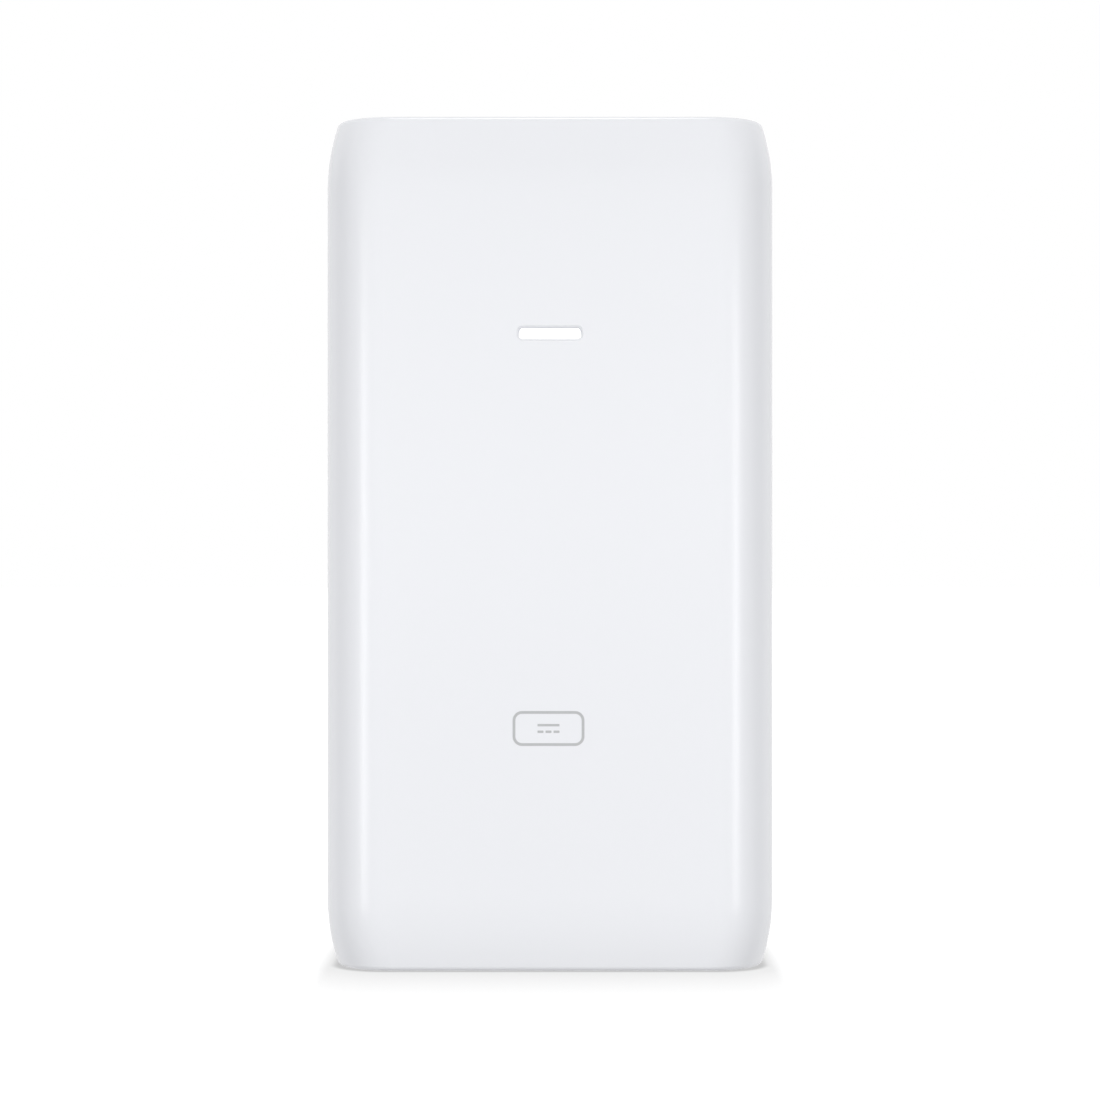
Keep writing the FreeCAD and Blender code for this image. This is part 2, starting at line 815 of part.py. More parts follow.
def make_back_shell():
    """The shallow half: back wall, lip, snaps, board bosses and the bracket's recess."""
    outer, last = housing_form("back_form", as_size(0))
    round_edges(outer, last, "back_form_rims", size.rim_radius, end_rims)
    inner, _ = housing_form("back_hollow", size.wall)
    hollow = cut("back_hollowed", outer, [inner])
    span = size.body_height
    keep_y = (parting + size.parting_gap / 2, back * 2)
    half = box("back_half", around(as_size(0), span), keep_y, around(span / 2, span * 2))
    cover = common("back_open_shell", hollow, half)
    lip = wall_ring("back_lip", size.wall / 2 + size.lip_clearance,
                    (parting - size.lip_length, parting + size.wall))
    snaps = snap_blocks("back_snap", size.snap_height, as_size(0), snap_y)
    channel_x = around(as_size(0), size.bracket_width + (size.tab_reach + size.bracket_side_gap) * 2)
    block_x = (channel_x[0] - size.wall / 2, channel_x[1] + size.wall / 2)
    block_z = (recess_z[0] - size.wall, recess_z[1] + size.wall)
    thick = box("back_recess_block", block_x, (cover_inner, back - size.wall / 2), block_z)
    bosses = [rod(f"back_boss_{number}", "Y", (x, board_back, z),
                  back - size.wall / 2 - board_back, size.boss_radius)
              for number, (x, z) in enumerate(board_screws_at)]
    cover = fuse("back_with_bosses", [cover, lip, thick] + snaps + bosses)
    through = (recess_face, back + size.wall)
    recess_corner = size.bracket_corner + size.bracket_side_gap
    recess = rounded_block("back_recess", "Y", recess_x, through, recess_z, recess_corner)
    recess_bevel = mouth_bevel("back_recess_bevel", "Y", recess_x, recess_z, back, -1,
                               recess_corner, size.edge_break)
    channel_y = (recess_face, tab_y[1] + size.bracket_gap)
    channel = box("back_channel", channel_x, channel_y, recess_z)
    entries = []
    for number, low in enumerate(tab_lows):
        z = (low - size.bracket_travel - size.bracket_side_gap,
             low - size.bracket_travel + size.tab_length + size.bracket_side_gap)
        entries.append(box(f"back_tab_entry_{number}", channel_x, through, z))
    groove_x = around(as_size(0), (size.detent_radius + size.detent_clearance) * 2)
    groove_reach = size.detent_radius + size.detent_clearance
    groove_y = (recess_face - size.detent_height - size.detent_clearance / 2,
                recess_face + size.bracket_gap)
    groove_z = (detent_up - size.bracket_travel - groove_reach, detent_up + groove_reach)
    groove = rounded_block("back_detent_groove", "Y", groove_x, groove_y, groove_z,
                           size.detent_radius)
    pilots = [rod(f"back_pilot_{number}", "Y", (x, board_back - size.wall, z),
                  size.pilot_depth + size.wall, size.pilot_radius)
              for number, (x, z) in enumerate(board_screws_at)]
    tools = [recess, recess_bevel, channel, groove] + entries + pilots
    keep(cut("back_shell_solid", cover, tools), "back_shell")


def make_wall_bracket():
    """The plate that is screwed to a wall, and slides in the recess behind the housing."""
    x = around(as_size(0), size.bracket_width)
    rim_low = bracket_outer - size.edge_break
    plate = rounded_block("bracket_plate", "Y", x, (bracket_inner, rim_low), bracket_z,
                          size.bracket_corner)
    rim = rounded_block("bracket_rim", "Y", x, (rim_low, bracket_outer), bracket_z,
                        size.bracket_corner, -BEVEL_ANGLE)
    tab_x = around(as_size(0), size.bracket_width + size.tab_reach * 2)
    tabs = [box(f"bracket_tab_{number}", tab_x, tab_y, from_low(low, size.tab_length))
            for number, low in enumerate(tab_lows)]
    ridges = []
    first_ridge = tongue_low + size.ridge_pitch
    for number in range(int(size.ridge_count.value)):
        z = from_low(first_ridge + size.ridge_pitch * number, size.ridge_width)
        ridge_x = around(as_size(0), size.ridge_length)
        ridges.append(box(f"bracket_ridge_{number}", ridge_x, (bracket_outer, back), z))
    detent = rod("bracket_detent", "-Y", (0, bracket_inner, detent_up),
                 size.detent_height, size.detent_radius)
    solid = fuse("bracket_solid", [plate, rim, detent] + tabs + ridges)
    tools = []
    hole_low = bracket_z[0] + size.wall_hole_first
    sink = size.countersink_radius - size.wall_hole_radius
    for number, up in enumerate((hole_low, hole_low + size.wall_hole_spread)):
        tools.append(rod(f"bracket_hole_{number}", "Y", (0, bracket_inner - size.wall, up),
                         size.bracket_thickness + size.wall * 2, size.wall_hole_radius))
        tools.append(cone(f"bracket_sink_{number}", "Y", (0, bracket_inner, up), sink,
                          size.countersink_radius, size.wall_hole_radius))
    through = (bracket_inner - size.wall, back + size.wall)
    slot_z = from_low(tongue_low, size.tongue_length)
    for side in SIDES:
        middle = (size.tongue_width + size.tongue_slot) / 2 * side
        tools.append(box(f"bracket_slot_{side}", around(middle, size.tongue_slot),
                         through, slot_z))
    foot_x = around(as_size(0), size.tongue_width + size.tongue_slot * 2)
    tools.append(box("bracket_slot_foot", foot_x, through,
                     from_high(tongue_low, size.tongue_slot)))
    keep(cut("wall_bracket_solid", solid, tools), "wall_bracket")


def make_light_pipe():
    """The clear bar behind the window, with its flange and the rod back to the lamp."""
    up = size.window_above_floor
    shrink = size.pipe_clearance * 2
    bar = rounded_block("pipe_bar", "Y", around(as_size(0), size.window_width - shrink),
                        (front + size.pipe_set_back, inner_front + size.pipe_flange_thickness / 2),
                        around(up, size.window_height - shrink),
                        size.window_corner - size.pipe_clearance)
    flange = box("pipe_flange", around(as_size(0), size.window_width + size.pipe_flange_lap * 2),
                 from_low(inner_front, size.pipe_flange_thickness),
                 around(up, size.window_height + size.pipe_flange_lap * 2))
    rod_end = board_face - size.led_height - size.led_gap
    stem = rod("pipe_stem", "Y", (0, inner_front, up), rod_end - inner_front,
               size.pipe_rod_radius)
    keep(fuse("light_pipe_solid", [bar, flange, stem]), "light_pipe")
    lamp = rounded_block("status_lamp_solid", "Y", around(as_size(0), size.led_width),
                         from_high(board_face, size.led_height), around(up, size.led_length),
                         size.led_corner)
    keep(lamp, "status_lamp")


def make_board():
    """The circuit board, its four screws and the insulating sheet behind it."""
    board = box("board_blank", around(as_size(0), size.board_width),
                (board_face, board_back), from_low(board_low, size.board_length))
    holes = [rod(f"board_hole_{number}", "Y", (x, board_face - size.wall, z),
                 size.board_thickness + size.wall * 2, size.screw_hole_radius)
             for number, (x, z) in enumerate(board_screws_at)]
    keep(cut("board_solid", board, holes), "circuit_board")

    screws = []
    for number, (x, z) in enumerate(board_screws_at):
        head = rod(f"screw_head_{number}", "-Y", (x, board_face, z),
                   size.screw_head_height, size.screw_head_radius)
        shank = rod(f"screw_shank_{number}", "Y", (x, board_face - size.screw_head_height / 2, z),
                    size.screw_length + size.screw_head_height / 2, size.screw_radius)
        slot_y = from_low(board_face - size.screw_head_height, size.screw_slot_depth)
        long_way = size.screw_slot_length
        short_way = size.screw_slot_width
        cross = [box(f"screw_slot_{number}", around(x, long_way), slot_y, around(z, short_way)),
                 box(f"screw_cross_{number}", around(x, short_way), slot_y, around(z, long_way))]
        screws.append(cut(f"screw_{number}", fuse(f"screw_blank_{number}", [head, shank]), cross))
    keep(group("board_screw_set", screws), "board_screws")

    sheet_x = around(as_size(0), size.board_width - size.sheet_margin * 2)
    blank = box("sheet_blank", sheet_x, from_high(cover_inner, size.sheet_thickness),
                (recess_z[0] - size.wall + size.sheet_margin,
                 recess_z[1] + size.wall - size.sheet_margin))
    reliefs = [rod(f"sheet_relief_{number}", "Y", (x, board_back, z),
                   size.boss_height * 2, size.boss_radius + size.sheet_thickness)
               for number, (x, z) in enumerate(board_screws_at)]
    keep(cut("sheet_solid", blank, reliefs), "insulating_sheet")


def make_jack(label, x_middle):
    """One modular jack: metal shield, insert, eight sprung contacts and their leads."""
    half = size.jack_width / 2
    shield_x = (x_middle - half, x_middle + half)
    shield_z = from_low(jack_mouth, size.jack_length)
    inside_x = (shield_x[0] + size.shield_sheet, shield_x[1] - size.shield_sheet)
    can = box(f"{label}_shield_blank", shield_x, (jack_front, board_face), shield_z)
    hollow = box(f"{label}_shield_hollow", inside_x,
                 (jack_front + size.shield_sheet, board_face + size.wall),
                 (jack_mouth - size.wall, shield_z[1] - size.shield_sheet))
    keep(cut(f"{label}_shield_solid", can, [hollow]), f"{label}_jack_shield")

    insert_x = (inside_x[0] + size.shield_clearance, inside_x[1] - size.shield_clearance)
    insert_y = (jack_front + size.shield_sheet + size.shield_clearance, board_face)
    insert_z = from_low(jack_mouth, size.insert_length)
    insert = box(f"{label}_insert_blank", insert_x, insert_y, insert_z)
    plug_z = (jack_mouth - size.wall, jack_mouth + size.plug_length)
    plug_back = cavity_front + size.plug_depth
    latch_back = plug_back + size.latch_depth
    key_back = latch_back + size.latch_key_depth
    plug = box(f"{label}_plug_space", around(x_middle, size.plug_width),
               (cavity_front, plug_back), plug_z)
    latch = box(f"{label}_latch_space", around(x_middle, size.latch_width),
                (plug_back - size.latch_depth, latch_back), plug_z)
    key = box(f"{label}_key_space", around(x_middle, size.latch_key_width),
              (plug_back, key_back), plug_z)
    comb_z = from_high(plug_z[1], size.contact_comb_length)
    comb = box(f"{label}_comb", around(x_middle, size.plug_width),
               (cavity_front - size.contact_size, cavity_front + size.contact_comb_rise), comb_z)
    space = cut(f"{label}_space", fuse(f"{label}_spaces", [plug, latch, key]), [comb])
    first = x_middle - size.contact_pitch * (size.contact_count - 1) / 2
    slots = contact_slots(label, first, insert_y[0])
    keep(cut(f"{label}_insert_solid", insert, [space, slots]), f"{label}_jack_insert")
    make_contacts(label, first)


# Depth and height of the points that the contacts turn at.
lead_front = jack_front + size.shield_sheet + size.shield_clearance + size.contact_gap
lead_back = lead_front + size.contact_size
pivot_y = cavity_front - size.contact_size
bend_low = jack_mouth + size.contact_size
pivot_z = bend_low + size.contact_size * 1.5 + size.contact_gap
lead_row_z = jack_mouth + size.insert_length + size.contact_size


def contact_slots(label, first, insert_front):
    """One slot per contact: open to the plug space, and along the insert's front face."""
    room = (size.contact_slot - size.contact_size) / 2
    slot_low = bend_low - room
    slot_high = jack_mouth + size.plug_length
    inner_front_y = pivot_y - size.contact_size / 2 - room
    tip_y = cavity_front + size.contact_comb_rise + size.wall
    past_front = insert_front - size.wall
    past_rear = jack_mouth + size.insert_length + size.wall
    groove_back = lead_back + room
    points = [
        (past_front, slot_low), (tip_y, slot_low), (tip_y, slot_high),
        (inner_front_y, slot_high), (inner_front_y, pivot_z),
        (groove_back, pivot_z), (groove_back, past_rear), (past_front, past_rear),
    ]
    body = side_profile(f"{label}_slots", points, size.contact_slot, first)
    repeat_across(body, body.Tip, f"{label}_slot_row", size.contact_pitch,
                  size.contact_count)
    return body


def make_contacts(label, first):
    """The sprung wires in the plug space, and the fixed leads round to the board."""
    thick = size.contact_size
    springs = []
    leads = []
    reach_y = sine(size.contact_angle) * size.contact_reach
    reach_z = cosine(size.contact_angle) * size.contact_reach
    for number in range(int(size.contact_count.value)):
        x = first + size.contact_pitch * number
        blade = document.addObject("Part::Box", f"{label}_blade_{number}")
        bind(blade, Length=thick, Width=thick, Height=size.contact_reach)
        blade.setExpression(".Placement.Rotation.Angle", (-size.contact_angle).text)
        blade.setExpression(".Placement.Rotation.Axis.x", "1")
        blade.setExpression(".Placement.Rotation.Axis.z", "0")
        half = thick / 2
        put(blade, x - half, pivot_y - half * cosine(size.contact_angle),
            pivot_z + half * sine(size.contact_angle))
        root = rod(f"{label}_root_{number}", "X", (x - half, pivot_y, pivot_z), thick, half)
        tip = rod(f"{label}_tip_{number}", "X",
                  (x - half, pivot_y + reach_y, pivot_z + reach_z), thick, half)
        springs.append(fuse(f"{label}_spring_{number}", [blade, root, tip]))
        rear_low = lead_row_z + size.contact_row_pitch * (number % 2)
        points = [
            (lead_front, bend_low), (pivot_y + half, bend_low),
            (pivot_y + half, bend_low + thick), (lead_back, bend_low + thick),
            (lead_back, rear_low), (board_face, rear_low),
            (board_face, rear_low + thick), (lead_front, rear_low + thick),
        ]
        leads.append(side_profile(f"{label}_lead_{number}", points, thick, x))
        solder_spots.append((x, rear_low + half))
    keep(group(f"{label}_spring_set", springs), f"{label}_contact_springs")
    keep(group(f"{label}_lead_set", leads), f"{label}_contact_leads")


def inlet_pins_at():
    """The three pin places: line, neutral and earth."""
    line_y = inlet_middle - size.inlet_line_drop
    spread = size.inlet_pin_spread / 2
    return ((-spread, line_y), (spread, line_y),
            (as_size(0), inlet_middle + size.inlet_earth_rise))


def make_inlet():
    """The three-pin mains inlet: an insulating body with a clover-shaped recess."""
    x = around(as_size(0), size.inlet_width)
    blank = rounded_block("inlet_blank", "Z", x, (inlet_front, board_face),
                          (inlet_low, inlet_face), size.inlet_corner)
    floor = inlet_face - size.inlet_recess
    rise = size.inlet_recess + size.wall
    tools = [rod("inlet_centre", "Z", (0, inlet_middle, floor), rise, size.inlet_centre_radius)]
    pins = []
    for number, (pin_x, pin_y) in enumerate(inlet_pins_at()):
        tools.append(rod(f"inlet_lobe_{number}", "Z", (pin_x, pin_y, floor), rise,
                         size.inlet_lobe_radius))
        tools.append(rod(f"inlet_bore_{number}", "Z", (pin_x, pin_y, inlet_low - size.wall),
                         size.inlet_length, size.inlet_pin_radius + size.inlet_pin_clearance))
        foot = inlet_low - size.inlet_tail
        tip = inlet_face - size.inlet_pin_set_back
        nose = size.inlet_pin_radius / 2
        shaft = rod(f"inlet_shaft_{number}", "Z", (pin_x, pin_y, foot), tip - nose - foot,
                    size.inlet_pin_radius)
        point = cone(f"inlet_nose_{number}", "Z", (pin_x, pin_y, tip - nose), nose,
                     size.inlet_pin_radius, size.inlet_pin_radius / 2)
        tail = box(f"inlet_tail_{number}", around(pin_x, size.inlet_pin_radius),
                   (pin_y, board_face), (foot, inlet_low - size.inlet_pin_clearance))
        pins.append(fuse(f"inlet_pin_{number}", [shaft, point, tail]))
        solder_spots.append((pin_x, foot + size.inlet_tail / 2))
    keep(cut("inlet_solid", blank, tools), "inlet_body")
    keep(group("inlet_pin_set", pins), "inlet_pins")


def leads_at(x, z, across=True):
    """Two lead places about a component's middle, noted for their solder."""
    half = size.lead_spread / 2
    if across:
        spots = [(x - half, z), (x + half, z)]
    else:
        spots = [(x, z - half), (x, z + half)]
    solder_spots.extend(spots)
    return spots


def turned_body(name, along, start, points):
    """A round piece: half its outline, as radius and height, turned about its axis."""
    body = new_body(name)
    profile = new_sketch(body, name + "_profile", "XZ_Plane")
    draw_outline(profile, points)
    turned = body.newObject("PartDesign::Revolution", name + "_turned")
    turned.Profile = profile
    turned.ReferenceAxis = (profile, ["V_Axis"])
    turned.Angle = 360
    body.Placement = FreeCAD.Placement(FreeCAD.Vector(), TURNS[along])
    put(body, *start)
    return body


def make_can(label, x, z, radius, height):
    """An aluminium-can capacitor standing on the board, with the groove that seals it."""
    rim = size.can_rim
    waist = rim * 4
    can = turned_body(label + "_can", "-Y", (x, board_face, z), [
        (0, 0), (radius - rim, 0), (radius, rim), (radius, waist - size.can_groove),
        (radius - size.can_groove, waist), (radius, waist + size.can_groove),
        (radius, height - rim), (radius - rim, height), (0, height),
    ])
    leads_at(x, z)
    keep(can, label)


def make_disc(label, x, z, radius, thickness):
    """A coated disc on two wires, its flat sides facing along the board."""
    middle = board_face - size.disc_stand_off - radius
    rim = size.disc_rim
    disc = turned_body(label + "_disc", "Z", (x, middle, z - thickness / 2), [
        (0, 0), (radius - rim, 0), (radius, rim), (radius, thickness - rim),
        (radius - rim, thickness), (0, thickness),
    ])
    wires = [rod(f"{label}_wire_{number}", "Y", (spot_x, middle, spot_z),
                 board_face - middle, size.lead_radius)
             for number, (spot_x, spot_z) in enumerate(leads_at(x, z))]
    keep(fuse(label + "_solid", [disc] + wires), label)


def make_mains_side():
    """Fuse, surge parts, filter, rectifier and reservoir capacitors."""
    fuse_x = -size.fuse_side
    keep(turned_body("fuse_drum", "-Y", (fuse_x, board_face, size.fuse_up), [
        (0, 0), (size.fuse_radius, 0), (size.fuse_radius, size.fuse_height - size.can_rim),
        (size.fuse_radius - size.can_rim, size.fuse_height), (0, size.fuse_height),
    ]), "fuse")
    leads_at(fuse_x, size.fuse_up)
    make_disc("thermistor", fuse_x, size.thermistor_up,
              size.thermistor_radius, size.thermistor_thickness)
    make_disc("varistor", size.fuse_side, size.varistor_up,
              size.varistor_radius, size.varistor_thickness)
    film = rounded_block("film_block", "Y", around(size.film_side, size.film_width),
                         from_high(board_face, size.film_height),
                         around(size.film_up, size.film_length), size.block_corner)
    keep(film, "film_capacitor")
    leads_at(size.film_side, size.film_up, across=False)
    make_choke(-size.choke_side, size.choke_up)
    bridge_y = from_high(board_face, size.bridge_height)
    keep(rounded_block("bridge_block", "Y", around(size.bridge_side, size.bridge_width),
                       bridge_y, around(size.bridge_up, size.bridge_length),
                       size.block_corner), "bridge_rectifier")
    leads_at(size.bridge_side, size.bridge_up + size.bridge_length / 3)
    leads_at(size.bridge_side, size.bridge_up - size.bridge_length / 3)
    make_can("left_bulk_capacitor", size.left_bulk_side, size.bulk_up,
             size.bulk_radius, size.bulk_height)
    make_can("right_bulk_capacitor", size.right_bulk_side, size.bulk_up,
             size.bulk_radius, size.bulk_height)


def make_choke(x, z):
    """The mains filter choke: a square ferrite frame with a winding on each upright leg."""
    frame_x = around(x, size.choke_width)
    frame_y = from_high(board_face, size.choke_height)
    depth = size.choke_leg
    frame = box("choke_frame", frame_x, frame_y, around(z, depth))
    hole = box("choke_hole", (frame_x[0] + size.choke_leg, frame_x[1] - size.choke_leg),
               (frame_y[0] + size.choke_leg, frame_y[1] - size.choke_leg),
               around(z, depth * 2))
    keep(cut("choke_core_solid", frame, [hole]), "choke_core")
    windings = []
    winding_y = (frame_y[0] + size.choke_leg + size.fit_gap,
                 frame_y[1] - size.choke_leg - size.fit_gap)
    for side in SIDES:
        leg = x + (size.choke_width - size.choke_leg) / 2 * side
        outer = size.choke_leg + size.choke_winding * 2
        coil = box(f"choke_coil_{side}", around(leg, outer), winding_y,
                   around(z, size.choke_length))
        bore = size.choke_leg + size.fit_gap * 2
        window = box(f"choke_bore_{side}", around(leg, bore),
                     (winding_y[0] - size.wall, winding_y[1] + size.wall), around(z, bore))
        windings.append(cut(f"choke_winding_{side}", coil, [window]))
    keep(group("choke_winding_set", windings), "choke_windings")
    leads_at(x, z - size.choke_length / 3)
    leads_at(x, z + size.choke_length / 3)


def make_switch():
    """The switching transistor on its aluminium heatsink, held by one screw."""
    x = size.switch_side
    sink_z = from_low(size.heatsink_up, size.heatsink_thickness)
    sink = box("heatsink_plate", around(x, size.heatsink_width),
               from_high(board_face, size.heatsink_height), sink_z)
    thick = size.transistor_thickness
    tab = size.transistor_tab_thickness
    body_y = from_high(board_face - size.transistor_stand_off - size.transistor_leg,
                       size.transistor_body_height)
    hole_y = body_y[0] - size.transistor_tab_height / 2
    tool = rod("heatsink_hole", "Z", (x, hole_y, sink_z[0] - size.wall), size.wall * 4,
               size.heatsink_screw_radius + size.fit_gap)
    keep(cut("heatsink_solid", sink, [tool]), "primary_heatsink")

    width = around(x, size.transistor_width)
    package = box("transistor_package", width, body_y, from_high(sink_z[0], thick))
    flag = box("transistor_tab", width, from_high(body_y[1], size.transistor_body_height
                                                  + size.transistor_tab_height),
               from_high(sink_z[0], tab))
    legs = []
    leg_z = around(sink_z[0] - thick / 2, size.transistor_leg)
    for step in (-1, 0, 1):
        leg_x = around(x + size.transistor_leg_pitch * step, size.transistor_leg)
        legs.append(box(f"transistor_leg_{step}", leg_x, (body_y[1] - tab, board_face), leg_z))
        solder_spots.append((x + size.transistor_leg_pitch * step, sink_z[0] - thick / 2))
    bore = rod("transistor_hole", "Z", (x, hole_y, sink_z[0] - size.wall * 2), size.wall * 4,
               size.heatsink_screw_radius + size.fit_gap)
    solid = fuse("transistor_solid", [package, flag] + legs)
    keep(cut("switch_transistor_solid", solid, [bore]), "switch_transistor")

    head_low = sink_z[0] - tab - size.heatsink_screw_radius
    head = rod("heatsink_screw_top", "Z", (x, hole_y, head_low), size.heatsink_screw_radius,
               size.heatsink_screw_head)
    shank = rod("heatsink_screw_shank", "Z", (x, hole_y, head_low + size.fit_gap),
                size.heatsink_screw_radius + tab + size.heatsink_thickness,
                size.heatsink_screw_radius)
    keep(fuse("heatsink_screw_solid", [head, shank]), "heatsink_screw")


def make_transformer():
    """The main transformer: ferrite core, bobbin with its two flanges, and the winding."""
    x = -size.transformer_side
    z = size.transformer_up
    across = around(x, size.core_width)
    core_y = from_high(board_face - size.bobbin_foot, size.core_height)
    half_leg = size.core_leg / 2
    core = box("core_block", across, core_y, around(z, size.core_length / 2))
    leg_low, leg_high = around(x, size.core_leg)
    yoke = size.core_yoke
    hole_y = (core_y[0] + yoke, core_y[1] - yoke)
    holes = [
        box("core_left_hole", (across[0] + half_leg, leg_low), hole_y, around(z, size.core_length)),
        box("core_right_hole", (leg_high, across[1] - half_leg), hole_y,
            around(z, size.core_length)),
    ]
    keep(cut("transformer_core_solid", core, holes), "transformer_core")

    gap = size.fit_gap
    tube_in = size.core_leg + gap * 2
    tube_out = tube_in + size.bobbin_wall * 2
    depth_in = size.core_length / 2 + gap * 2
    depth_out = depth_in + size.bobbin_wall * 2
    flange_x = (across[0] + half_leg + gap, across[1] - half_leg - gap)
    flange_z = around(z, size.core_length)
    low_flange = from_high(hole_y[1] - gap, size.bobbin_flange)
    high_flange = from_low(hole_y[0] + gap, size.bobbin_flange)
    tube = box("bobbin_tube", around(x, tube_out), (high_flange[0], low_flange[1]),
               around(z, depth_out))
    flanges = [box("bobbin_low_flange", flange_x, low_flange, flange_z),
               box("bobbin_high_flange", flange_x, high_flange, flange_z)]
    feet = []
    for side in SIDES:
        foot_low = size.core_length / 4 + gap
        near = z + foot_low * side
        far = z + (size.core_length / 2 + size.bobbin_overhang) * side
        foot_z = (near, far) if side == RIGHT else (far, near)
        feet.append(box(f"bobbin_foot_{side}", flange_x, (low_flange[0], board_face), foot_z))
        for step in (-1, 0, 1):
            solder_spots.append((x + size.lead_spread * step, (foot_z[0] + foot_z[1]) / 2))
    bore = box("bobbin_bore", around(x, tube_in), (core_y[0], core_y[1]), around(z, depth_in))
    solid = fuse("bobbin_solid", [tube] + flanges + feet)
    keep(cut("transformer_bobbin_solid", solid, [bore]), "transformer_bobbin")

    coil_y = (high_flange[1] + gap, low_flange[0] - gap)
    margin = size.winding_margin
    coil = box("winding_block", (flange_x[0] + margin / 2, flange_x[1] - margin / 2), coil_y,
               around(z, size.core_length + margin))
    eye = box("winding_eye", around(x, tube_out + gap * 2),
              (coil_y[0] - size.wall, coil_y[1] + size.wall), around(z, depth_out + gap * 2))
    keep(cut("transformer_winding_solid", coil, [eye]), "transformer_winding")


def make_output_side():
    """Rectifier, filter, data magnetics and the small parts on the solder side."""
    make_disc("disc_capacitor", -size.disc_side, size.disc_up,
              size.disc_capacitor_radius, size.disc_capacitor_thickness)

    diode_y = board_face - size.disc_stand_off - size.diode_radius
    start = size.diode_side - size.diode_length / 2
    barrel = rod("diode_barrel", "X", (start, diode_y, size.diode_up),
                 size.diode_length, size.diode_radius)
    wire = size.diode_wire
    ends = (start - wire * 2, start + size.diode_length + wire * 2)
    bar = rod("diode_bar", "X", (ends[0] - wire, diode_y, size.diode_up),
              ends[1] - ends[0] + wire * 2, wire)
    legs = []
    for number, end in enumerate(ends):
        legs.append(rod(f"diode_leg_{number}", "Y", (end, diode_y, size.diode_up),
                        board_face - diode_y, size.lead_radius))
        solder_spots.append((end, size.diode_up))
    keep(fuse("diode_solid", [barrel, bar] + legs), "output_rectifier")

    drum_x = size.drum_side
    drum = rod("drum_blank", "-Y", (drum_x, board_face, size.drum_up),
               size.drum_height, size.drum_radius)
    waist_length = size.drum_height - size.drum_flange * 2
    waist_start = (drum_x, board_face - size.drum_flange, size.drum_up)
    ring = rod("drum_ring", "-Y", waist_start, waist_length, size.drum_radius * 2)
    waist = rod("drum_waist", "-Y", waist_start, waist_length, size.drum_waist)
    keep(cut("drum_solid", drum, [cut("drum_space", ring, [waist])]), "output_inductor_core")
    coil = rod("drum_coil", "-Y", (drum_x, board_face - size.drum_flange - size.fit_gap,
                                   size.drum_up),
               waist_length - size.fit_gap * 2, size.drum_radius - size.fit_gap * 4)
    bore = rod("drum_bore", "-Y", waist_start, waist_length, size.drum_waist + size.fit_gap)
    keep(cut("drum_winding_solid", coil, [bore]), "output_inductor_winding")
    solder_spots.append((drum_x - size.drum_radius / 2, size.drum_up))
    solder_spots.append((drum_x + size.drum_radius / 2, size.drum_up))

    make_can("left_output_capacitor", size.left_can_side, size.cans_up,
             size.output_can_radius, size.output_can_height)
    make_can("right_output_capacitor", size.right_can_side, size.cans_up,
             size.output_can_radius, size.output_can_height)
    for label, side in (("lan", LEFT), ("poe", RIGHT)):
        make_package(f"{label}_data_transformer", size.magnetics_side * side,
                     size.magnetics_up, board_face, -1, size.magnetics_width,
                     size.magnetics_length, size.magnetics_height, size.magnetics_pitch,
                     size.magnetics_leads)
    make_package("optocoupler", size.optocoupler_side, size.optocoupler_up, board_back, 1,
                 size.optocoupler_width, size.optocoupler_length, size.optocoupler_height,
                 size.optocoupler_pitch, size.optocoupler_leads)
    make_package("control_chip", -size.chip_side, size.chip_up, board_back, 1,
                 size.chip_width, size.chip_length, size.chip_height, size.chip_pitch,
                 size.chip_leads)


def make_package(label, x, z, face, way, width, length, height, pitch, count):
    """A surface-mounted package and its bent leads, on either face of the board."""
    near = face + size.package_stand_off * way
    far = face + height * way
    y = (near, far) if way > 0 else (far, near)
    keep(rounded_block(f"{label}_block", "Y", around(x, width), y, around(z, length),
                       size.block_corner), label)
    thick = size.package_lead_thickness
    knee = face + height / 2 * way
    rows = []
    for side in SIDES:
        edge = z + length / 2 * side
        toe = edge + size.package_lead_reach * side
        heel = toe - size.package_lead_foot * side
        points = [
            (knee, edge), (knee, heel), (face + thick * way, heel),
            (face + thick * way, toe), (face, toe), (face, heel - thick * side),
            (knee - thick * way, heel - thick * side), (knee - thick * way, edge),
        ]
        first = x - pitch * (count - 1) / 2
        row = side_profile(f"{label}_leads_{side}", points, size.package_lead_width, first)
        repeat_across(row, row.Tip, f"{label}_lead_row_{side}", pitch, count)
        rows.append(row)
    keep(group(f"{label}_lead_set", rows), f"{label}_leads")


def make_solder():
    """A small cone of solder behind every lead."""
    cones = [cone(f"solder_{number}", "Y", (x, board_back, z), size.solder_height,
                  size.solder_radius, size.lead_radius)
             for number, (x, z) in enumerate(solder_spots)]
    keep(group("solder_set", cones), "solder_joints")


def check_document():
    """Stop at any object that failed to compute, or any sub-part that isn't sound."""
    for item in document.Objects:
        if "Invalid" in item.State or "Error" in item.State:
            raise RuntimeError(f"{item.Label} didn't compute: {item.State}")
    for item in sub_parts:
        if item.Shape.isNull() or not item.Shape.isValid():
            raise RuntimeError(f"{item.Label} has no sound shape")
        if not item.Shape.Solids:
            raise RuntimeError(f"{item.Label} holds no solid")


def write_parts():
    os.makedirs(OUTPUT_FOLDER, exist_ok=True)
    for item in sub_parts:
        item.Shape.exportStep(os.path.join(OUTPUT_FOLDER, item.Label + ".step"))


make_front_shell()
make_back_shell()
make_wall_bracket()
make_light_pipe()
make_board()
make_jack("lan", -size.jack_pitch / 2)
make_jack("poe", size.jack_pitch / 2)
make_inlet()
make_mains_side()
make_switch()
make_transformer()
make_output_side()
make_solder()
document.recompute()
check_document()
write_parts()
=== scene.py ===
"""A power-over-Ethernet injector: its finishes, the printed mark, the floor, lights and camera."""

import json
import math

import bmesh
import bpy
from mathutils import Matrix, Vector


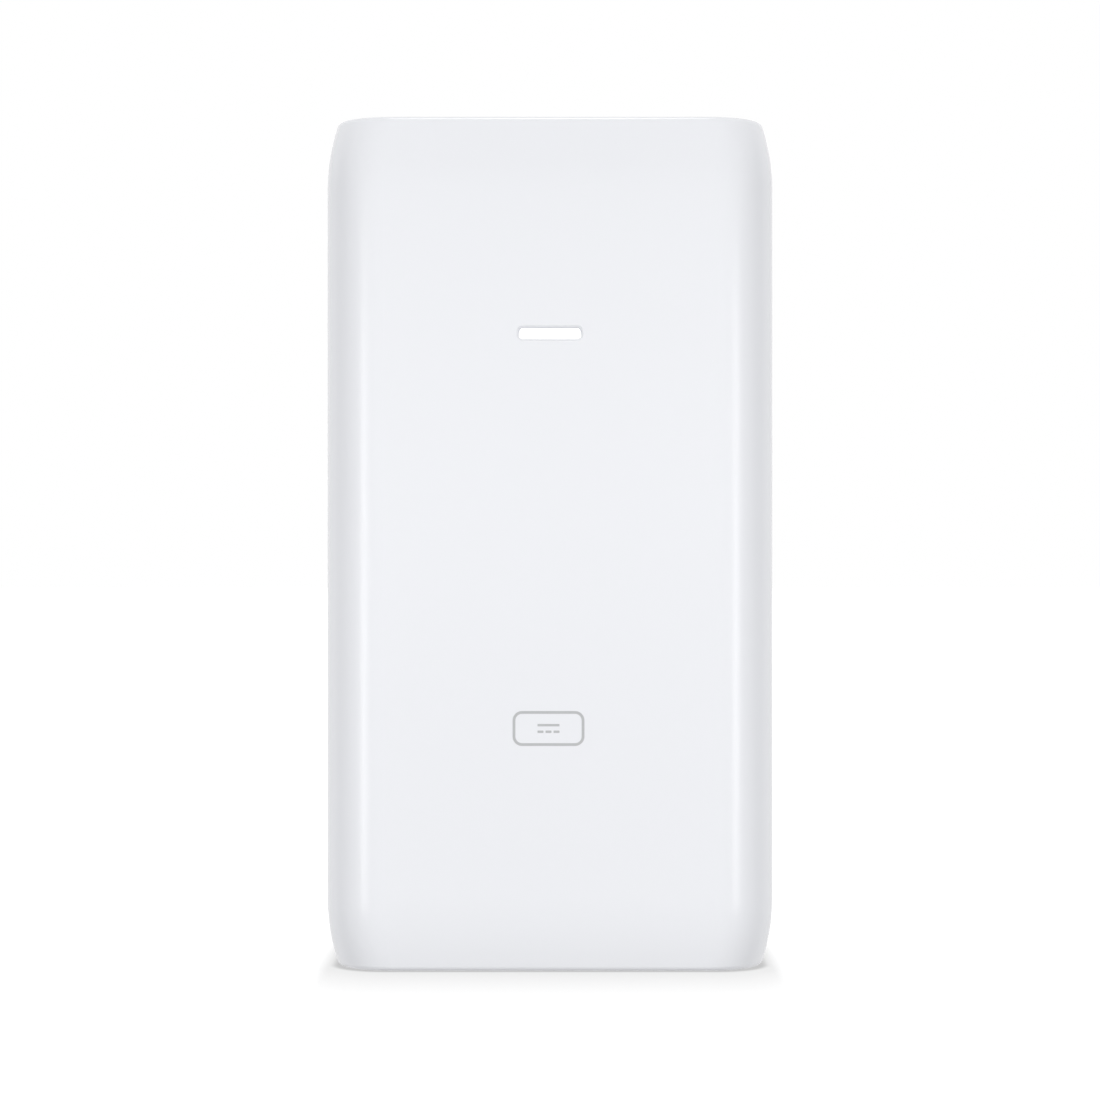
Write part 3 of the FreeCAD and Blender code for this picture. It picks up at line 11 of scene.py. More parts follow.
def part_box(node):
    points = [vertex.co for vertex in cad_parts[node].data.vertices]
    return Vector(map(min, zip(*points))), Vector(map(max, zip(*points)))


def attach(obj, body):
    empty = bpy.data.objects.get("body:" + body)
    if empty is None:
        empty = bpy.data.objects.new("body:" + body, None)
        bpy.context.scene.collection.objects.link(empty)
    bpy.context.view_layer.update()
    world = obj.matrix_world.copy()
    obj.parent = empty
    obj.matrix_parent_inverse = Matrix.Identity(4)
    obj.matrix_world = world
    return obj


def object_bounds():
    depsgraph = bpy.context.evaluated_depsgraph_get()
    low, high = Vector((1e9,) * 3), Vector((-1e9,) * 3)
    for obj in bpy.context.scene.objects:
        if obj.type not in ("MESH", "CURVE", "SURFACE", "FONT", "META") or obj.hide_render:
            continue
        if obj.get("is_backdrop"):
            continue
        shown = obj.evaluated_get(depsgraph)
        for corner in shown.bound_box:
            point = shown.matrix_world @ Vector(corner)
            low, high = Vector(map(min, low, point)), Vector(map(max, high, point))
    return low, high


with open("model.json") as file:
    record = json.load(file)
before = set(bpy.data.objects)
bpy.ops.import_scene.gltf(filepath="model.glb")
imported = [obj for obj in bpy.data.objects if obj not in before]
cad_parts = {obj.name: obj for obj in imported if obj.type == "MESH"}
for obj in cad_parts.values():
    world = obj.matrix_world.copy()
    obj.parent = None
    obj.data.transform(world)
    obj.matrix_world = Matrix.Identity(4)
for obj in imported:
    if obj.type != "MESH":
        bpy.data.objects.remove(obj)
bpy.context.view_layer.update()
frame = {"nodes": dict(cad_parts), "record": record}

MM = 0.001
MICRON = 0.001 * MM


# ---- Node trees -------------------------------------------------------------------------

class Wire:
    """An output of a node tree. A sum written with it adds the Math nodes that work it out."""

    def __init__(self, tree, socket):
        self.tree = tree
        self.socket = socket

    def sum(self, operation, first, second):
        return self.tree.add("Math", {"operation": operation},
                             {"Value": first, "Value_001": second}, "Value")

    def __add__(self, other):
        return self.sum("ADD", self, other)

    def __radd__(self, other):
        return self.sum("ADD", other, self)

    def __sub__(self, other):
        return self.sum("SUBTRACT", self, other)

    def __rsub__(self, other):
        return self.sum("SUBTRACT", other, self)

    def __mul__(self, other):
        return self.sum("MULTIPLY", self, other)

    def __rmul__(self, other):
        return self.sum("MULTIPLY", other, self)

    def __truediv__(self, other):
        return self.sum("DIVIDE", self, other)

    def __neg__(self):
        return self.sum("SUBTRACT", 0.0, self)

    def __abs__(self):
        return self.sum("ABSOLUTE", self, 0.0)


class NodeTree:
    """The node tree of a finish or of the sky."""

    def __init__(self, owner):
        owner.use_nodes = True
        self.tree = owner.node_tree
        self.tree.nodes.clear()

    def add(self, kind, settings, values, output):
        """Add a node: its settings, then a value or a wire for each socket, by identifier."""
        node = self.tree.nodes.new("ShaderNode" + kind)
        for name, value in settings.items():
            setattr(node, name, value)
        sockets = {socket.identifier: socket for socket in node.inputs}
        for name, value in values.items():
            if isinstance(value, Wire):
                self.tree.links.new(value.socket, sockets[name])
            else:
                sockets[name].default_value = value
        outputs = {socket.identifier: socket for socket in node.outputs}
        return Wire(self, outputs[output]) if output else node

    def larger(self, first, second):
        """Whichever is more, point by point."""
        return self.add("Math", {"operation": "MAXIMUM"},
                        {"Value": first, "Value_001": second}, "Value")

    def angle(self, first, second):
        """The bearing in degrees of a point that lies that far along two directions."""
        turned = self.add("Math", {"operation": "ARCTAN2"},
                          {"Value": first, "Value_001": second}, "Value")
        return turned * math.degrees(1.0)

    def reach(self, first, second):
        """How far away a point is that lies that far along two directions."""
        return self.add("Math", {"operation": "SQRT"},
                        {"Value": first * first + second * second}, "Value")

    def step(self, value, start, end):
        """0 before the start, 1 past the end, and smooth between them."""
        return self.add("MapRange", {"interpolation_type": "SMOOTHSTEP"},
                        {"Value": value, "From Min": start, "From Max": end}, "Result")

    def axes(self, place):
        """The three parts of a place or direction."""
        return [self.add("SeparateXYZ", {}, {"Vector": place}, axis) for axis in "XYZ"]


WAVE_PHASE = 20                   # a wave node turns through this angle over one unit


class Finish(NodeTree):
    """A material whose colour, gloss and relief come from patterns fixed to the piece."""

    def __init__(self, name):
        self.material = bpy.data.materials.new(name)
        super().__init__(self.material)

    def place(self, scale=(1, 1, 1), turn=(0, 0, 0)):
        """Where a point of the piece is, stretched and turned by degrees."""
        here = self.add("TexCoord", {}, {}, "Object")
        turn = tuple(math.radians(angle) for angle in turn)
        return self.add("Mapping", {}, {"Vector": here, "Scale": scale, "Rotation": turn}, "Vector")

    def noise(self, place, size, detail=2.0, roughness=0.5):
        """Soft blotches of about that size."""
        values = {"Vector": place, "Scale": 1 / size, "Detail": detail, "Roughness": roughness}
        return self.add("TexNoise", {}, values, "Fac")

    def cells(self, place, size, feature="F1", distance="EUCLIDEAN"):
        """How far the middles of random cells of about that size are."""
        return self.add("TexVoronoi", {"feature": feature, "distance": distance},
                        {"Vector": place, "Scale": 1 / size}, "Distance")

    def ridges(self, place, pitch, along, wobble=0.0):
        """Even ridges across one axis."""
        settings = {"wave_type": "BANDS", "bands_direction": along, "wave_profile": "SIN"}
        scale = math.tau / (WAVE_PHASE * pitch)
        values = {"Vector": place, "Scale": scale, "Distortion": wobble}
        return self.add("TexWave", settings, values, "Fac")

    def mix(self, share, first, second):
        """The first colour, with that share of the second."""
        colours = {"A_Color": first, "B_Color": second}
        for name, colour in colours.items():
            if not isinstance(colour, Wire):
                colours[name] = (*colour, 1.0)
        return self.add("Mix", {"data_type": "RGBA"}, {"Factor_Float": share, **colours},
                        "Result_Color")

    def relief(self, height, depth):
        """A normal for a height from 0 to 1 that stands that deep."""
        values = {"Height": height, "Distance": depth, "Strength": 1.0}
        return self.add("Bump", {}, values, "Normal")

    def done(self, colour, roughness, normal, **others):
        """Close the tree on one shader. The others are its sockets, in lower case."""
        values = {"Base Color": colour, "Roughness": roughness, "Normal": normal}
        for name, value in others.items():
            values[name.replace("_", " ").title().replace("Ior", "IOR")] = value
        for name, value in values.items():
            if isinstance(value, tuple) and len(value) == 3:
                values[name] = (*value, 1.0)
        shader = self.add("BsdfPrincipled", {}, values, "BSDF")
        self.add("OutputMaterial", {}, {"Surface": shader}, None)
        return self.material


def grey(level):
    """A colour without a tint."""
    return (level, level, level)


# ---- Finishes of the plastics -------------------------------------------------------------

BAR_WIDTH = 6.2 * MM              # the clear bar where it fills the front window
BAR_HEIGHT = 1.1 * MM


def moulded_white():
    """The housing: cool white satin plastic, an even fine grain and a slow drift of gloss."""
    darker, paler = (0.838, 0.848, 0.880), (0.850, 0.860, 0.892)
    glossiest, gloss_lost = 0.235, 0.045
    grain_size, grain_depth, drift_size = 0.16 * MM, 1.6 * MICRON, 22 * MM
    tree = Finish("moulded_white")
    here = tree.place()
    grain = tree.noise(here, grain_size, detail=3.0)
    drift = tree.noise(here, drift_size)
    colour = tree.mix(drift, darker, paler)
    return tree.done(colour, glossiest + gloss_lost * drift, tree.relief(grain, grain_depth))


def sparked_white():
    """The wall bracket: the same plastic from a mould with a coarser spark finish."""
    darker, paler = (0.815, 0.826, 0.845), (0.850, 0.860, 0.876)
    glossiest, gloss_lost = 0.46, 0.14
    pit_size, grain_size, spark_depth, grain_height = 0.30 * MM, 0.14 * MM, 7 * MICRON, 0.5
    tree = Finish("sparked_white")
    here = tree.place()
    pits = tree.cells(here, pit_size)
    grain = tree.noise(here, grain_size, detail=3.0)
    colour = tree.mix(pits, darker, paler)
    return tree.done(colour, glossiest + gloss_lost * grain,
                     tree.relief(pits + grain_height * grain, spark_depth))


def glass_filled(name, colour, roughness):
    """Dark glass-filled plastic: flow streaks, a speckle of fibre ends and a dull grain."""
    streak_size, drawn_out, grain_size, fibre_size = 1.1 * MM, (1, 1, 0.2), 0.12 * MM, 0.22 * MM
    fibre_core, fibre_edge = 0.05, 0.16
    fibre_share, streak_share = 0.35, 0.45
    dulled_by_grain, polished_by_fibres = 0.16, 0.10
    streak_height, depth = 0.4, 3.5 * MICRON
    brightening, whitening = 1.9, 0.012
    paler = tuple(part * brightening + whitening for part in colour)
    tree = Finish(name)
    streaks = tree.noise(tree.place(scale=drawn_out), streak_size, detail=4.0)
    here = tree.place()
    grain = tree.noise(here, grain_size, detail=2.0)
    fibres = 1.0 - tree.step(tree.cells(here, fibre_size), fibre_core, fibre_edge)
    shade = tree.mix(fibre_share * fibres + streak_share * streaks, colour, paler)
    roughness = roughness + dulled_by_grain * grain - polished_by_fibres * fibres
    return tree.done(shade, roughness, tree.relief(grain + streak_height * streaks, depth))


def clear_bar():
    """The status window: clear plastic, lit from behind, its top and upper ends drawn grey as
    painted shade under the recess and for the pipe's dimmer edges.
    """
    white, shade_grey, haze_grey = (1.0, 1.0, 0.995), (0.60, 0.62, 0.66), (0.86, 0.89, 0.93)
    top_shade_share, end_shade_share, haze_share = 0.55, 0.8, 0.06
    top_shade_starts, upper_half_full, end_shade_starts, edge = 0.30, 0.35, 0.45, 0.5
    haze_size, haze_depth = 0.8 * MM, 1.5 * MICRON
    glossiest, gloss_lost = 0.12, 0.08
    tree = Finish("clear_bar")
    here = tree.place()
    sideways, _, upwards = tree.axes(here)
    low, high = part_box("light_pipe")
    middle = (low.z + high.z) / 2
    # Painted shade: the top edge and upper ends of the bar are drawn grey, for the shade under the
    # recess's upper wall and the dimmer edges of the pipe.
    top_shade = tree.step(upwards, middle + BAR_HEIGHT * top_shade_starts,
                        middle + BAR_HEIGHT * edge)
    upper_half = tree.step(upwards, middle, middle + BAR_HEIGHT * upper_half_full)
    end_shade = upper_half * tree.step(abs(sideways), BAR_WIDTH * end_shade_starts,
                                      BAR_WIDTH * edge)
    haze = tree.noise(here, haze_size, detail=3.0)
    rim = tree.larger(top_shade_share * top_shade, end_shade_share * end_shade)
    glow = tree.mix(rim, white, shade_grey)
    glow = tree.mix(haze_share * haze, glow, haze_grey)
    return tree.done(glow, glossiest + gloss_lost * haze, tree.relief(haze, haze_depth),
                     emission_color=glow, emission_strength=0.30)


def dipped(name, colour, dark):
    """A dipped epoxy coating: glossy and slightly runny, with a few pores."""
    run_size, drawn_out, pore_size = 1.6 * MM, (1, 0.5, 1), 0.9 * MM
    pore_core, pore_edge = 0.03, 0.09
    run_share, pore_share = 0.7, 0.3
    glossiest, gloss_lost = 0.16, 0.18
    pore_depth, depth = 0.6, 25 * MICRON
    tree = Finish(name)
    here = tree.place()
    runs = tree.noise(tree.place(scale=drawn_out), run_size, detail=3.0)
    pores = 1.0 - tree.step(tree.cells(here, pore_size), pore_core, pore_edge)
    shade = tree.mix(run_share * runs + pore_share * pores, colour, dark)
    return tree.done(shade, glossiest + gloss_lost * runs,
                     tree.relief(runs - pore_depth * pores, depth),
                     coat_weight=0.35, coat_roughness=0.08)


def boxed_yellow():
    """The film capacitor: a yellow box with faint sink marks and rubbed patches."""
    yellow, ochre = (0.76, 0.52, 0.055), (0.60, 0.40, 0.05)
    sink_size, grain_size, rub_size, drawn_out = 3.2 * MM, 0.15 * MM, 0.7 * MM, (1, 1, 0.3)
    rub_edge, rub_core = 0.60, 0.72
    rub_share, sink_share = 0.4, 0.3
    glossiest, gloss_lost = 0.34, 0.2
    grain_height, depth = 0.1, 18 * MICRON
    tree = Finish("boxed_yellow")
    here = tree.place()
    sinks = tree.noise(here, sink_size)
    grain = tree.noise(here, grain_size, detail=3.0)
    rubs = tree.step(tree.noise(tree.place(scale=drawn_out), rub_size, detail=5.0),
                     rub_edge, rub_core)
    shade = tree.mix(rub_share * rubs + sink_share * sinks, yellow, ochre)
    return tree.done(shade, glossiest + gloss_lost * rubs,
                     tree.relief(sinks + grain_height * grain, depth))


def epoxy_package(name, colour, dust):
    """A moulded package: dull, finely pitted and a little cloudy."""
    pit_size, cloud_size = 0.10 * MM, 1.4 * MM
    pit_share, cloud_share = 0.5, 0.5
    glossiest, gloss_lost = 0.44, 0.2
    pit_depth = 4 * MICRON
    tree = Finish(name)
    here = tree.place()
    pits = tree.cells(here, pit_size)
    cloud = tree.noise(here, cloud_size, detail=3.0)
    shade = tree.mix(pit_share * pits + cloud_share * cloud, colour, dust)
    return tree.done(shade, glossiest + gloss_lost * cloud, tree.relief(pits, pit_depth))


def sleeved_can(node):
    """A capacitor: dark film drawn tight round the can, with a paler polarity band, and the
    bare aluminium top inside its rim, with a pressed cross drawn darker as painted shade."""
    blackest, bluest, band_grey = (0.014, 0.019, 0.038), (0.034, 0.044, 0.072), (0.33, 0.35, 0.40)
    bright, brushed, score_shade = (0.78, 0.78, 0.79), (0.68, 0.68, 0.69), (0.30, 0.30, 0.31)
    crease_size, drawn_out, blotch_size, turned_pitch = 1.2 * MM, (1, 0.15, 1), 4.0 * MM, 0.10 * MM
    band_edge, band_core = 150.0, 154.0
    sleeve_ends, top_starts = 0.30 * MM, 0.15 * MM
    bare_core, bare_edge = 0.80, 0.83
    score_reach, score_end = 0.5, 0.56
    line_core, line_edge, score_share = 0.05 * MM, 0.14 * MM, 0.7
    glossiest, dulled_by_creases, dulled_by_turning = 0.22, 0.16, 0.08
    top_sinks, score_sinks, depth = 2.0, 3.0, 14 * MICRON
    tree = Finish(node + "_sleeve")
    here = tree.place()
    low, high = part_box(node)
    radius = (high.x - low.x) / 2
    sideways, forwards, upwards = tree.axes(here)
    across = sideways - (low.x + high.x) / 2
    along = upwards - (low.z + high.z) / 2
    creases = tree.noise(tree.place(scale=drawn_out), crease_size, detail=4.0)
    band = tree.step(abs(tree.angle(across, along)), band_edge, band_core)
    sleeve = tree.mix(tree.noise(here, blotch_size), blackest, bluest)
    sleeve = tree.mix(band, sleeve, band_grey)
    on_top = tree.step(-forwards, -low.y - sleeve_ends, -low.y - top_starts)
    bare = on_top * (1.0 - tree.step(tree.reach(across, along),
                                     radius * bare_core, radius * bare_edge))
    turned = tree.ridges(here, turned_pitch, "X", wobble=1.5)
    metal = tree.mix(turned, bright, brushed)
    score = tree.larger(1.0 - tree.step(abs(across), line_core, line_edge),
                        1.0 - tree.step(abs(along), line_core, line_edge))
    score = score * (1.0 - tree.step(tree.reach(across, along),
                                     radius * score_reach, radius * score_end))
    # Painted shade: the grooves of the pressed cross are drawn darker than the bare metal.
    metal = tree.mix(score_share * score, metal, score_shade)
    rough = glossiest + dulled_by_creases * creases + dulled_by_turning * turned * bare
    height = (creases * (1.0 - bare) - top_sinks * bare) - score_sinks * score * bare
    return tree.done(tree.mix(bare, sleeve, metal), rough, tree.relief(height, depth),
                     metallic=bare, coat_weight=0.2, coat_roughness=0.12)


def winding_tape():
    """Polyester tape wound over the transformer: translucent yellow with overlapped edges."""
    yellow, amber = (0.78, 0.60, 0.06), (0.50, 0.33, 0.03)
    lap_pitch, wrinkle_size, drawn_out = 2.1 * MM, 0.9 * MM, (0.3, 1, 0.3)
    lap_start, lap_end = 0.90, 0.99
    edge_share, wrinkle_share = 0.55, 0.25
    glossiest, gloss_lost, depth = 0.20, 0.22, 16 * MICRON
    tree = Finish("winding_tape")
    here = tree.place()
    laps = tree.ridges(here, lap_pitch, "Y", wobble=0.4)
    edge = tree.step(laps, lap_start, lap_end)
    wrinkles = tree.noise(tree.place(scale=drawn_out), wrinkle_size, detail=4.0)
    shade = tree.mix(edge_share * edge + wrinkle_share * wrinkles, yellow, amber)
    return tree.done(shade, glossiest + gloss_lost * wrinkles,
                     tree.relief(edge + wrinkles, depth),
                     coat_weight=0.3, coat_roughness=0.1)


def fish_paper():
    """Pressed insulating paper: grey fibres lying both ways, with a waxed face."""
    darker, paler, stain = (0.33, 0.33, 0.31), (0.47, 0.46, 0.43), (0.28, 0.28, 0.27)
    fibre_size, cloud_size = 0.35 * MM, 6.0 * MM
    fibre_start, fibre_end = 0.35, 0.65
    fibre_share, cloud_share = 0.5, 0.3
    glossiest, gloss_lost, depth = 0.62, 0.14, 22 * MICRON
    tree = Finish("fish_paper")
    here = tree.place()
    upright = tree.place(scale=(1, 1, 0.16), turn=(0, 32, 0))
    one_way = tree.noise(upright, fibre_size, detail=5.0)
    level = tree.place(scale=(0.16, 1, 1), turn=(0, -24, 0))
    other_way = tree.noise(level, fibre_size, detail=5.0)
    fibres = fibre_share * one_way + fibre_share * other_way
    cloud = tree.noise(here, cloud_size, detail=3.0)
    shade = tree.mix(tree.step(fibres, fibre_start, fibre_end), darker, paler)
    shade = tree.mix(cloud_share * cloud, shade, stain)
    return tree.done(shade, glossiest + gloss_lost * cloud, tree.relief(fibres, depth))


# ---- Finishes of the metals ---------------------------------------------------------------

def sheet_metal(name, colour, tarnish, roughness, stretch=(1, 1, 0.04)):
    """Plated sheet: rolled streaks, a few short hair scratches and a faint stain."""
    roll_size, rub_size, scratch_pitch, stain_size = 0.10 * MM, 1.3 * MM, 0.9 * MM, 5.0 * MM
    rub_edge, rub_core = 0.54, 0.62
    slant, hair_edge, hair_core = (17, 29, 41), 0.990, 0.999
    stain_edge, stain_core = 0.45, 0.85
    stain_share, rolled_share = 0.40, 0.15
    dulled_by_rolling, dulled_by_stain, dulled_by_scratches = 0.18, 0.08, 0.10
    scratch_depth, depth = 0.3, 0.7 * MICRON
    tree = Finish(name)
    here = tree.place()
    rolled = tree.noise(tree.place(scale=stretch), roll_size, detail=5.0, roughness=0.6)
    rubbed = tree.step(tree.noise(here, rub_size), rub_edge, rub_core)
    scratches = tree.ridges(tree.place(turn=slant), scratch_pitch, "X", wobble=0.5)
    scratches = rubbed * tree.step(scratches, hair_edge, hair_core)
    stain = tree.step(tree.noise(here, stain_size, detail=3.0), stain_edge, stain_core)
    shade = tree.mix(stain_share * stain + rolled_share * rolled, colour, tarnish)
    roughness = (roughness + dulled_by_rolling * rolled + dulled_by_stain * stain
                 + dulled_by_scratches * scratches)
    return tree.done(shade, roughness, tree.relief(rolled - scratch_depth * scratches, depth),
                     metallic=1.0)


def gold_wire():
    """The jack contacts: flashed gold, worn to the bronze where a plug has rubbed them."""
    gold, bronze = (0.95, 0.66, 0.24), (0.74, 0.47, 0.24)
    drawn_size, drawn_out, wear_size = 0.06 * MM, (1, 1, 0.05), 0.55 * MM
    wear_edge, wear_core = 0.56, 0.70
    glossiest, dulled_by_drawing, dulled_by_wear = 0.16, 0.14, 0.14
    depth = 1.0 * MICRON
    tree = Finish("gold_wire")
    here = tree.place()
    drawn = tree.noise(tree.place(scale=drawn_out), drawn_size, detail=4.0)
    wear = tree.step(tree.noise(here, wear_size, detail=5.0), wear_edge, wear_core)
    shade = tree.mix(wear, gold, bronze)
    return tree.done(shade, glossiest + dulled_by_drawing * drawn + dulled_by_wear * wear,
                     tree.relief(drawn, depth), metallic=1.0)


def copper_wire():
    """Enamelled copper wound turn by turn, with painted shade between the turns, its lacquer
    uneven.
    """
    copper, lacquered, groove_shade = (0.80, 0.32, 0.11), (0.42, 0.13, 0.045), (0.16, 0.045, 0.015)
    wire_pitch, lacquer_size = 0.42 * MM, 1.3 * MM
    shade_core, shade_edge, lacquer_share = 0.05, 0.40, 0.5
    glossiest, gloss_lost, depth = 0.20, 0.16, 90 * MICRON
    tree = Finish("copper_wire")
    here = tree.place()
    turns = tree.ridges(here, wire_pitch, "Y", wobble=0.15)
    lacquer = tree.noise(here, lacquer_size, detail=3.0)
    shade = tree.mix(lacquer_share * lacquer, copper, lacquered)
    # Painted shade: the grooves between the turns are drawn dark.
    shade = tree.mix(1.0 - tree.step(turns, shade_core, shade_edge), shade, groove_shade)
    return tree.done(shade, glossiest + gloss_lost * lacquer, tree.relief(turns, depth),
                     metallic=0.75, coat_weight=0.6, coat_roughness=0.10)


def soft_solder():
    """Tin solder: bright, with the frosted ripples that it sets with."""
    bright, frosted = (0.72, 0.72, 0.73), (0.52, 0.52, 0.54)
    frost_size, ripple_size = 0.12 * MM, 0.5 * MM
    glossiest, gloss_lost = 0.20, 0.25
    frost_height, depth = 0.2, 12 * MICRON
    tree = Finish("soft_solder")
    here = tree.place()
    frost = tree.cells(here, frost_size)
    ripple = tree.noise(here, ripple_size, detail=3.0)
    shade = tree.mix(frost, bright, frosted)
    return tree.done(shade, glossiest + gloss_lost * frost,
                     tree.relief(ripple + frost_height * frost, depth), metallic=1.0)


def sintered_ferrite():
    """Ferrite: charcoal grey, sintered, with ground faces and small chips."""
    charcoal, paler = (0.045, 0.045, 0.049), (0.13, 0.13, 0.135)
    grain_size, chip_size, grinding_size, drawn_out = 0.12 * MM, 0.8 * MM, 0.16 * MM, (0.06, 1, 1)
    chip_edge, chip_core = 0.62, 0.70
    grain_share, chip_share = 0.5, 0.5
    glossiest, dulled_by_grinding, dulled_by_chips = 0.34, 0.22, 0.2
    grinding_height, depth = 0.5, 12 * MICRON
    tree = Finish("sintered_ferrite")
    here = tree.place()
    grains = tree.cells(here, grain_size)
    chips = tree.step(tree.noise(here, chip_size, detail=6.0, roughness=0.7), chip_edge, chip_core)
    ground = tree.noise(tree.place(scale=drawn_out), grinding_size, detail=4.0)
    shade = tree.mix(grain_share * grains + chip_share * chips, charcoal, paler)
    return tree.done(shade, glossiest + dulled_by_grinding * ground + dulled_by_chips * chips,
                     tree.relief(grinding_height * ground - chips, depth))


# ---- Finishes of the board, the lamp and the ink ------------------------------------------

TRACK_SHARE = 0.36                # how much of the board's height has narrow tracks
COPPER_GAPS = ((7.5 * MM, 0.075), (2.6 * MM, 0.10))   # size of a copper area, share of the gap


def solder_mask():
    """The circuit board: green mask over wide copper areas with square-cut gaps between
    them, narrower tracks below, and the glass weave showing through."""
    bare_board, over_copper = (0.006, 0.058, 0.022), (0.020, 0.150, 0.052)
    glass = (0.10, 0.20, 0.08)
    gap_slope, change_height, weave_pitch, dust_size = 1.3, 0.1 * MM, 0.5 * MM, 2.5 * MM
    weave_share, weave_height = 0.08, 0.1
    glossiest, gloss_lost, depth = 0.20, 0.16, 18 * MICRON
    tree = Finish("solder_mask")
    here = tree.place()
    _, _, upwards = tree.axes(here)
    flat = tree.place(scale=(1, 0, 1))
    coppers = []
    for width, gap in COPPER_GAPS:
        nearest = tree.cells(flat, width, "F1", "CHEBYCHEV")
        next_one = tree.cells(flat, width, "F2", "CHEBYCHEV")
        coppers.append(tree.step(next_one - nearest, gap, gap * gap_slope))
    areas, tracks = coppers
    low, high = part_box("circuit_board")
    tracks_end = low.z + (high.z - low.z) * TRACK_SHARE
    wide = tree.step(upwards, tracks_end, tracks_end + change_height)
    copper = areas * wide + tracks * (1.0 - wide)
    weave = tree.ridges(here, weave_pitch, "X") * tree.ridges(here, weave_pitch, "Z")
    shade = tree.mix(copper, bare_board, over_copper)
    shade = tree.mix(weave_share * weave, shade, glass)
    dust = tree.noise(here, dust_size, detail=4.0)
    return tree.done(shade, glossiest + gloss_lost * dust,
                     tree.relief(copper + weave_height * weave, depth),
                     coat_weight=0.25, coat_roughness=0.1)


def lamp_body():
    """The status lamp: a white cup with a yellow phosphor filling at its middle."""
    cup, phosphor, dust = (0.80, 0.80, 0.78), (0.88, 0.70, 0.20), (0.6, 0.55, 0.4)
    filling_core, filling_edge = 0.26, 0.31
    speckle_size, speckle_share = 0.08 * MM, 0.2
    glossiest, gloss_lost, depth = 0.24, 0.2, 4 * MICRON
    tree = Finish("lamp_body")
    here = tree.place()
    sideways, _, upwards = tree.axes(here)
    low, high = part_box("status_lamp")
    across = abs(sideways - (low.x + high.x) / 2) / (high.x - low.x)
    along = abs(upwards - (low.z + high.z) / 2) / (high.z - low.z)
    filling = 1.0 - tree.step(tree.larger(across, along), filling_core, filling_edge)
    speckle = tree.noise(here, speckle_size, detail=3.0)
    shade = tree.mix(filling, cup, phosphor)
    shade = tree.mix(speckle_share * speckle, shade, dust)
    return tree.done(shade, glossiest + gloss_lost * speckle,
                     tree.relief(speckle - filling, depth))


def printing_ink():
    """The printed mark: pale grey ink, laid by a pad and a little mottled."""
    darker, paler = (0.46, 0.466, 0.480), (0.52, 0.526, 0.540)
    mottle_size, depth = 0.18 * MM, 2 * MICRON
    glossiest, gloss_lost = 0.38, 0.15
    tree = Finish("printing_ink")
    here = tree.place()
    mottle = tree.noise(here, mottle_size, detail=4.0)
    shade = tree.mix(mottle, darker, paler)
    return tree.done(shade, glossiest + gloss_lost * mottle, tree.relief(mottle, depth))


# ---- Each node's finish, by its material slot ---------------------------------------------

CAPACITOR_SLOT = "capacitor_sleeve"       # every capacitor has a finish of its own

FINISHES = {
    "housing_white": moulded_white(),
    "bracket_white": sparked_white(),
    "clear_pipe": clear_bar(),
    "lamp": lamp_body(),
    "board_green": solder_mask(),
    "zinc_steel": sheet_metal("bright_zinc", (0.66, 0.67, 0.70), (0.52, 0.50, 0.44), 0.20,
                              stretch=(1, 0.1, 1)),
    "fish_paper": fish_paper(),
    "jack_shield_metal": sheet_metal("tinned_sheet", (0.70, 0.70, 0.71), (0.50, 0.49, 0.46), 0.18),
    "jack_black": glass_filled("jack_plastic", (0.018, 0.018, 0.020), 0.36),
    "contact_gold": gold_wire(),
    "inlet_black": glass_filled("inlet_plastic", (0.016, 0.016, 0.017), 0.40),
    "pin_nickel": sheet_metal("nickel_pin", (0.72, 0.70, 0.66), (0.50, 0.46, 0.38), 0.14),
    "fuse_brown": glass_filled("fuse_plastic", (0.075, 0.026, 0.014), 0.28),
    "thermistor_green": dipped("thermistor_dip", (0.030, 0.110, 0.050), (0.015, 0.060, 0.028)),
    "varistor_blue": dipped("varistor_dip", (0.020, 0.085, 0.360), (0.012, 0.045, 0.210)),
    "film_yellow": boxed_yellow(),
    "ferrite": sintered_ferrite(),
    "copper_wire": copper_wire(),
    "moulded_black": epoxy_package("black_package", (0.022, 0.022, 0.024), (0.060, 0.060, 0.062)),
    "optocoupler_white": epoxy_package("white_package", (0.72, 0.71, 0.66), (0.60, 0.58, 0.52)),
    "heatsink_aluminium": sheet_metal("mill_aluminium", (0.80, 0.80, 0.81), (0.62, 0.62, 0.62),
                                      0.26, stretch=(0.04, 1, 1)),
    "winding_tape": winding_tape(),
    "disc_blue": dipped("disc_dip", (0.040, 0.180, 0.520), (0.020, 0.100, 0.340)),
    "solder": soft_solder(),
    "lead_tin": sheet_metal("tinned_lead", (0.68, 0.68, 0.69), (0.48, 0.47, 0.44), 0.16),
}
SLOT_OF = {part["node"]: part["material_slot"] for part in frame["record"]["subparts"]}

for name, piece in frame["nodes"].items():
    if SLOT_OF[name] == CAPACITOR_SLOT:
        finish = sleeved_can(name)
    else:
        finish = FINISHES[SLOT_OF[name]]
    for slot in piece.material_slots:
        slot.material = finish


# ---- The printed mark ---------------------------------------------------------------------

INK_STANDS = 0.012 * MM
INK_SINKS = 0.010 * MM
MARK_ABOVE_FLOOR = 24.5 * MM
MARK_SIDEWAYS = -0.15 * MM
MARK_WIDTH = 7.20 * MM
MARK_HEIGHT = 3.50 * MM
MARK_CORNER = 0.95 * MM
MARK_LINE = 0.28 * MM
SIGN_WIDTH = 2.20 * MM
SIGN_LINE = 0.24 * MM
SIGN_GAP = 0.42 * MM
SIGN_CORNER = 0.2                 # share of the line's width
DASHES = 3
DASH_SHARE = 0.74                 # share of a dash and the gap after it
CORNER_STEPS = 12


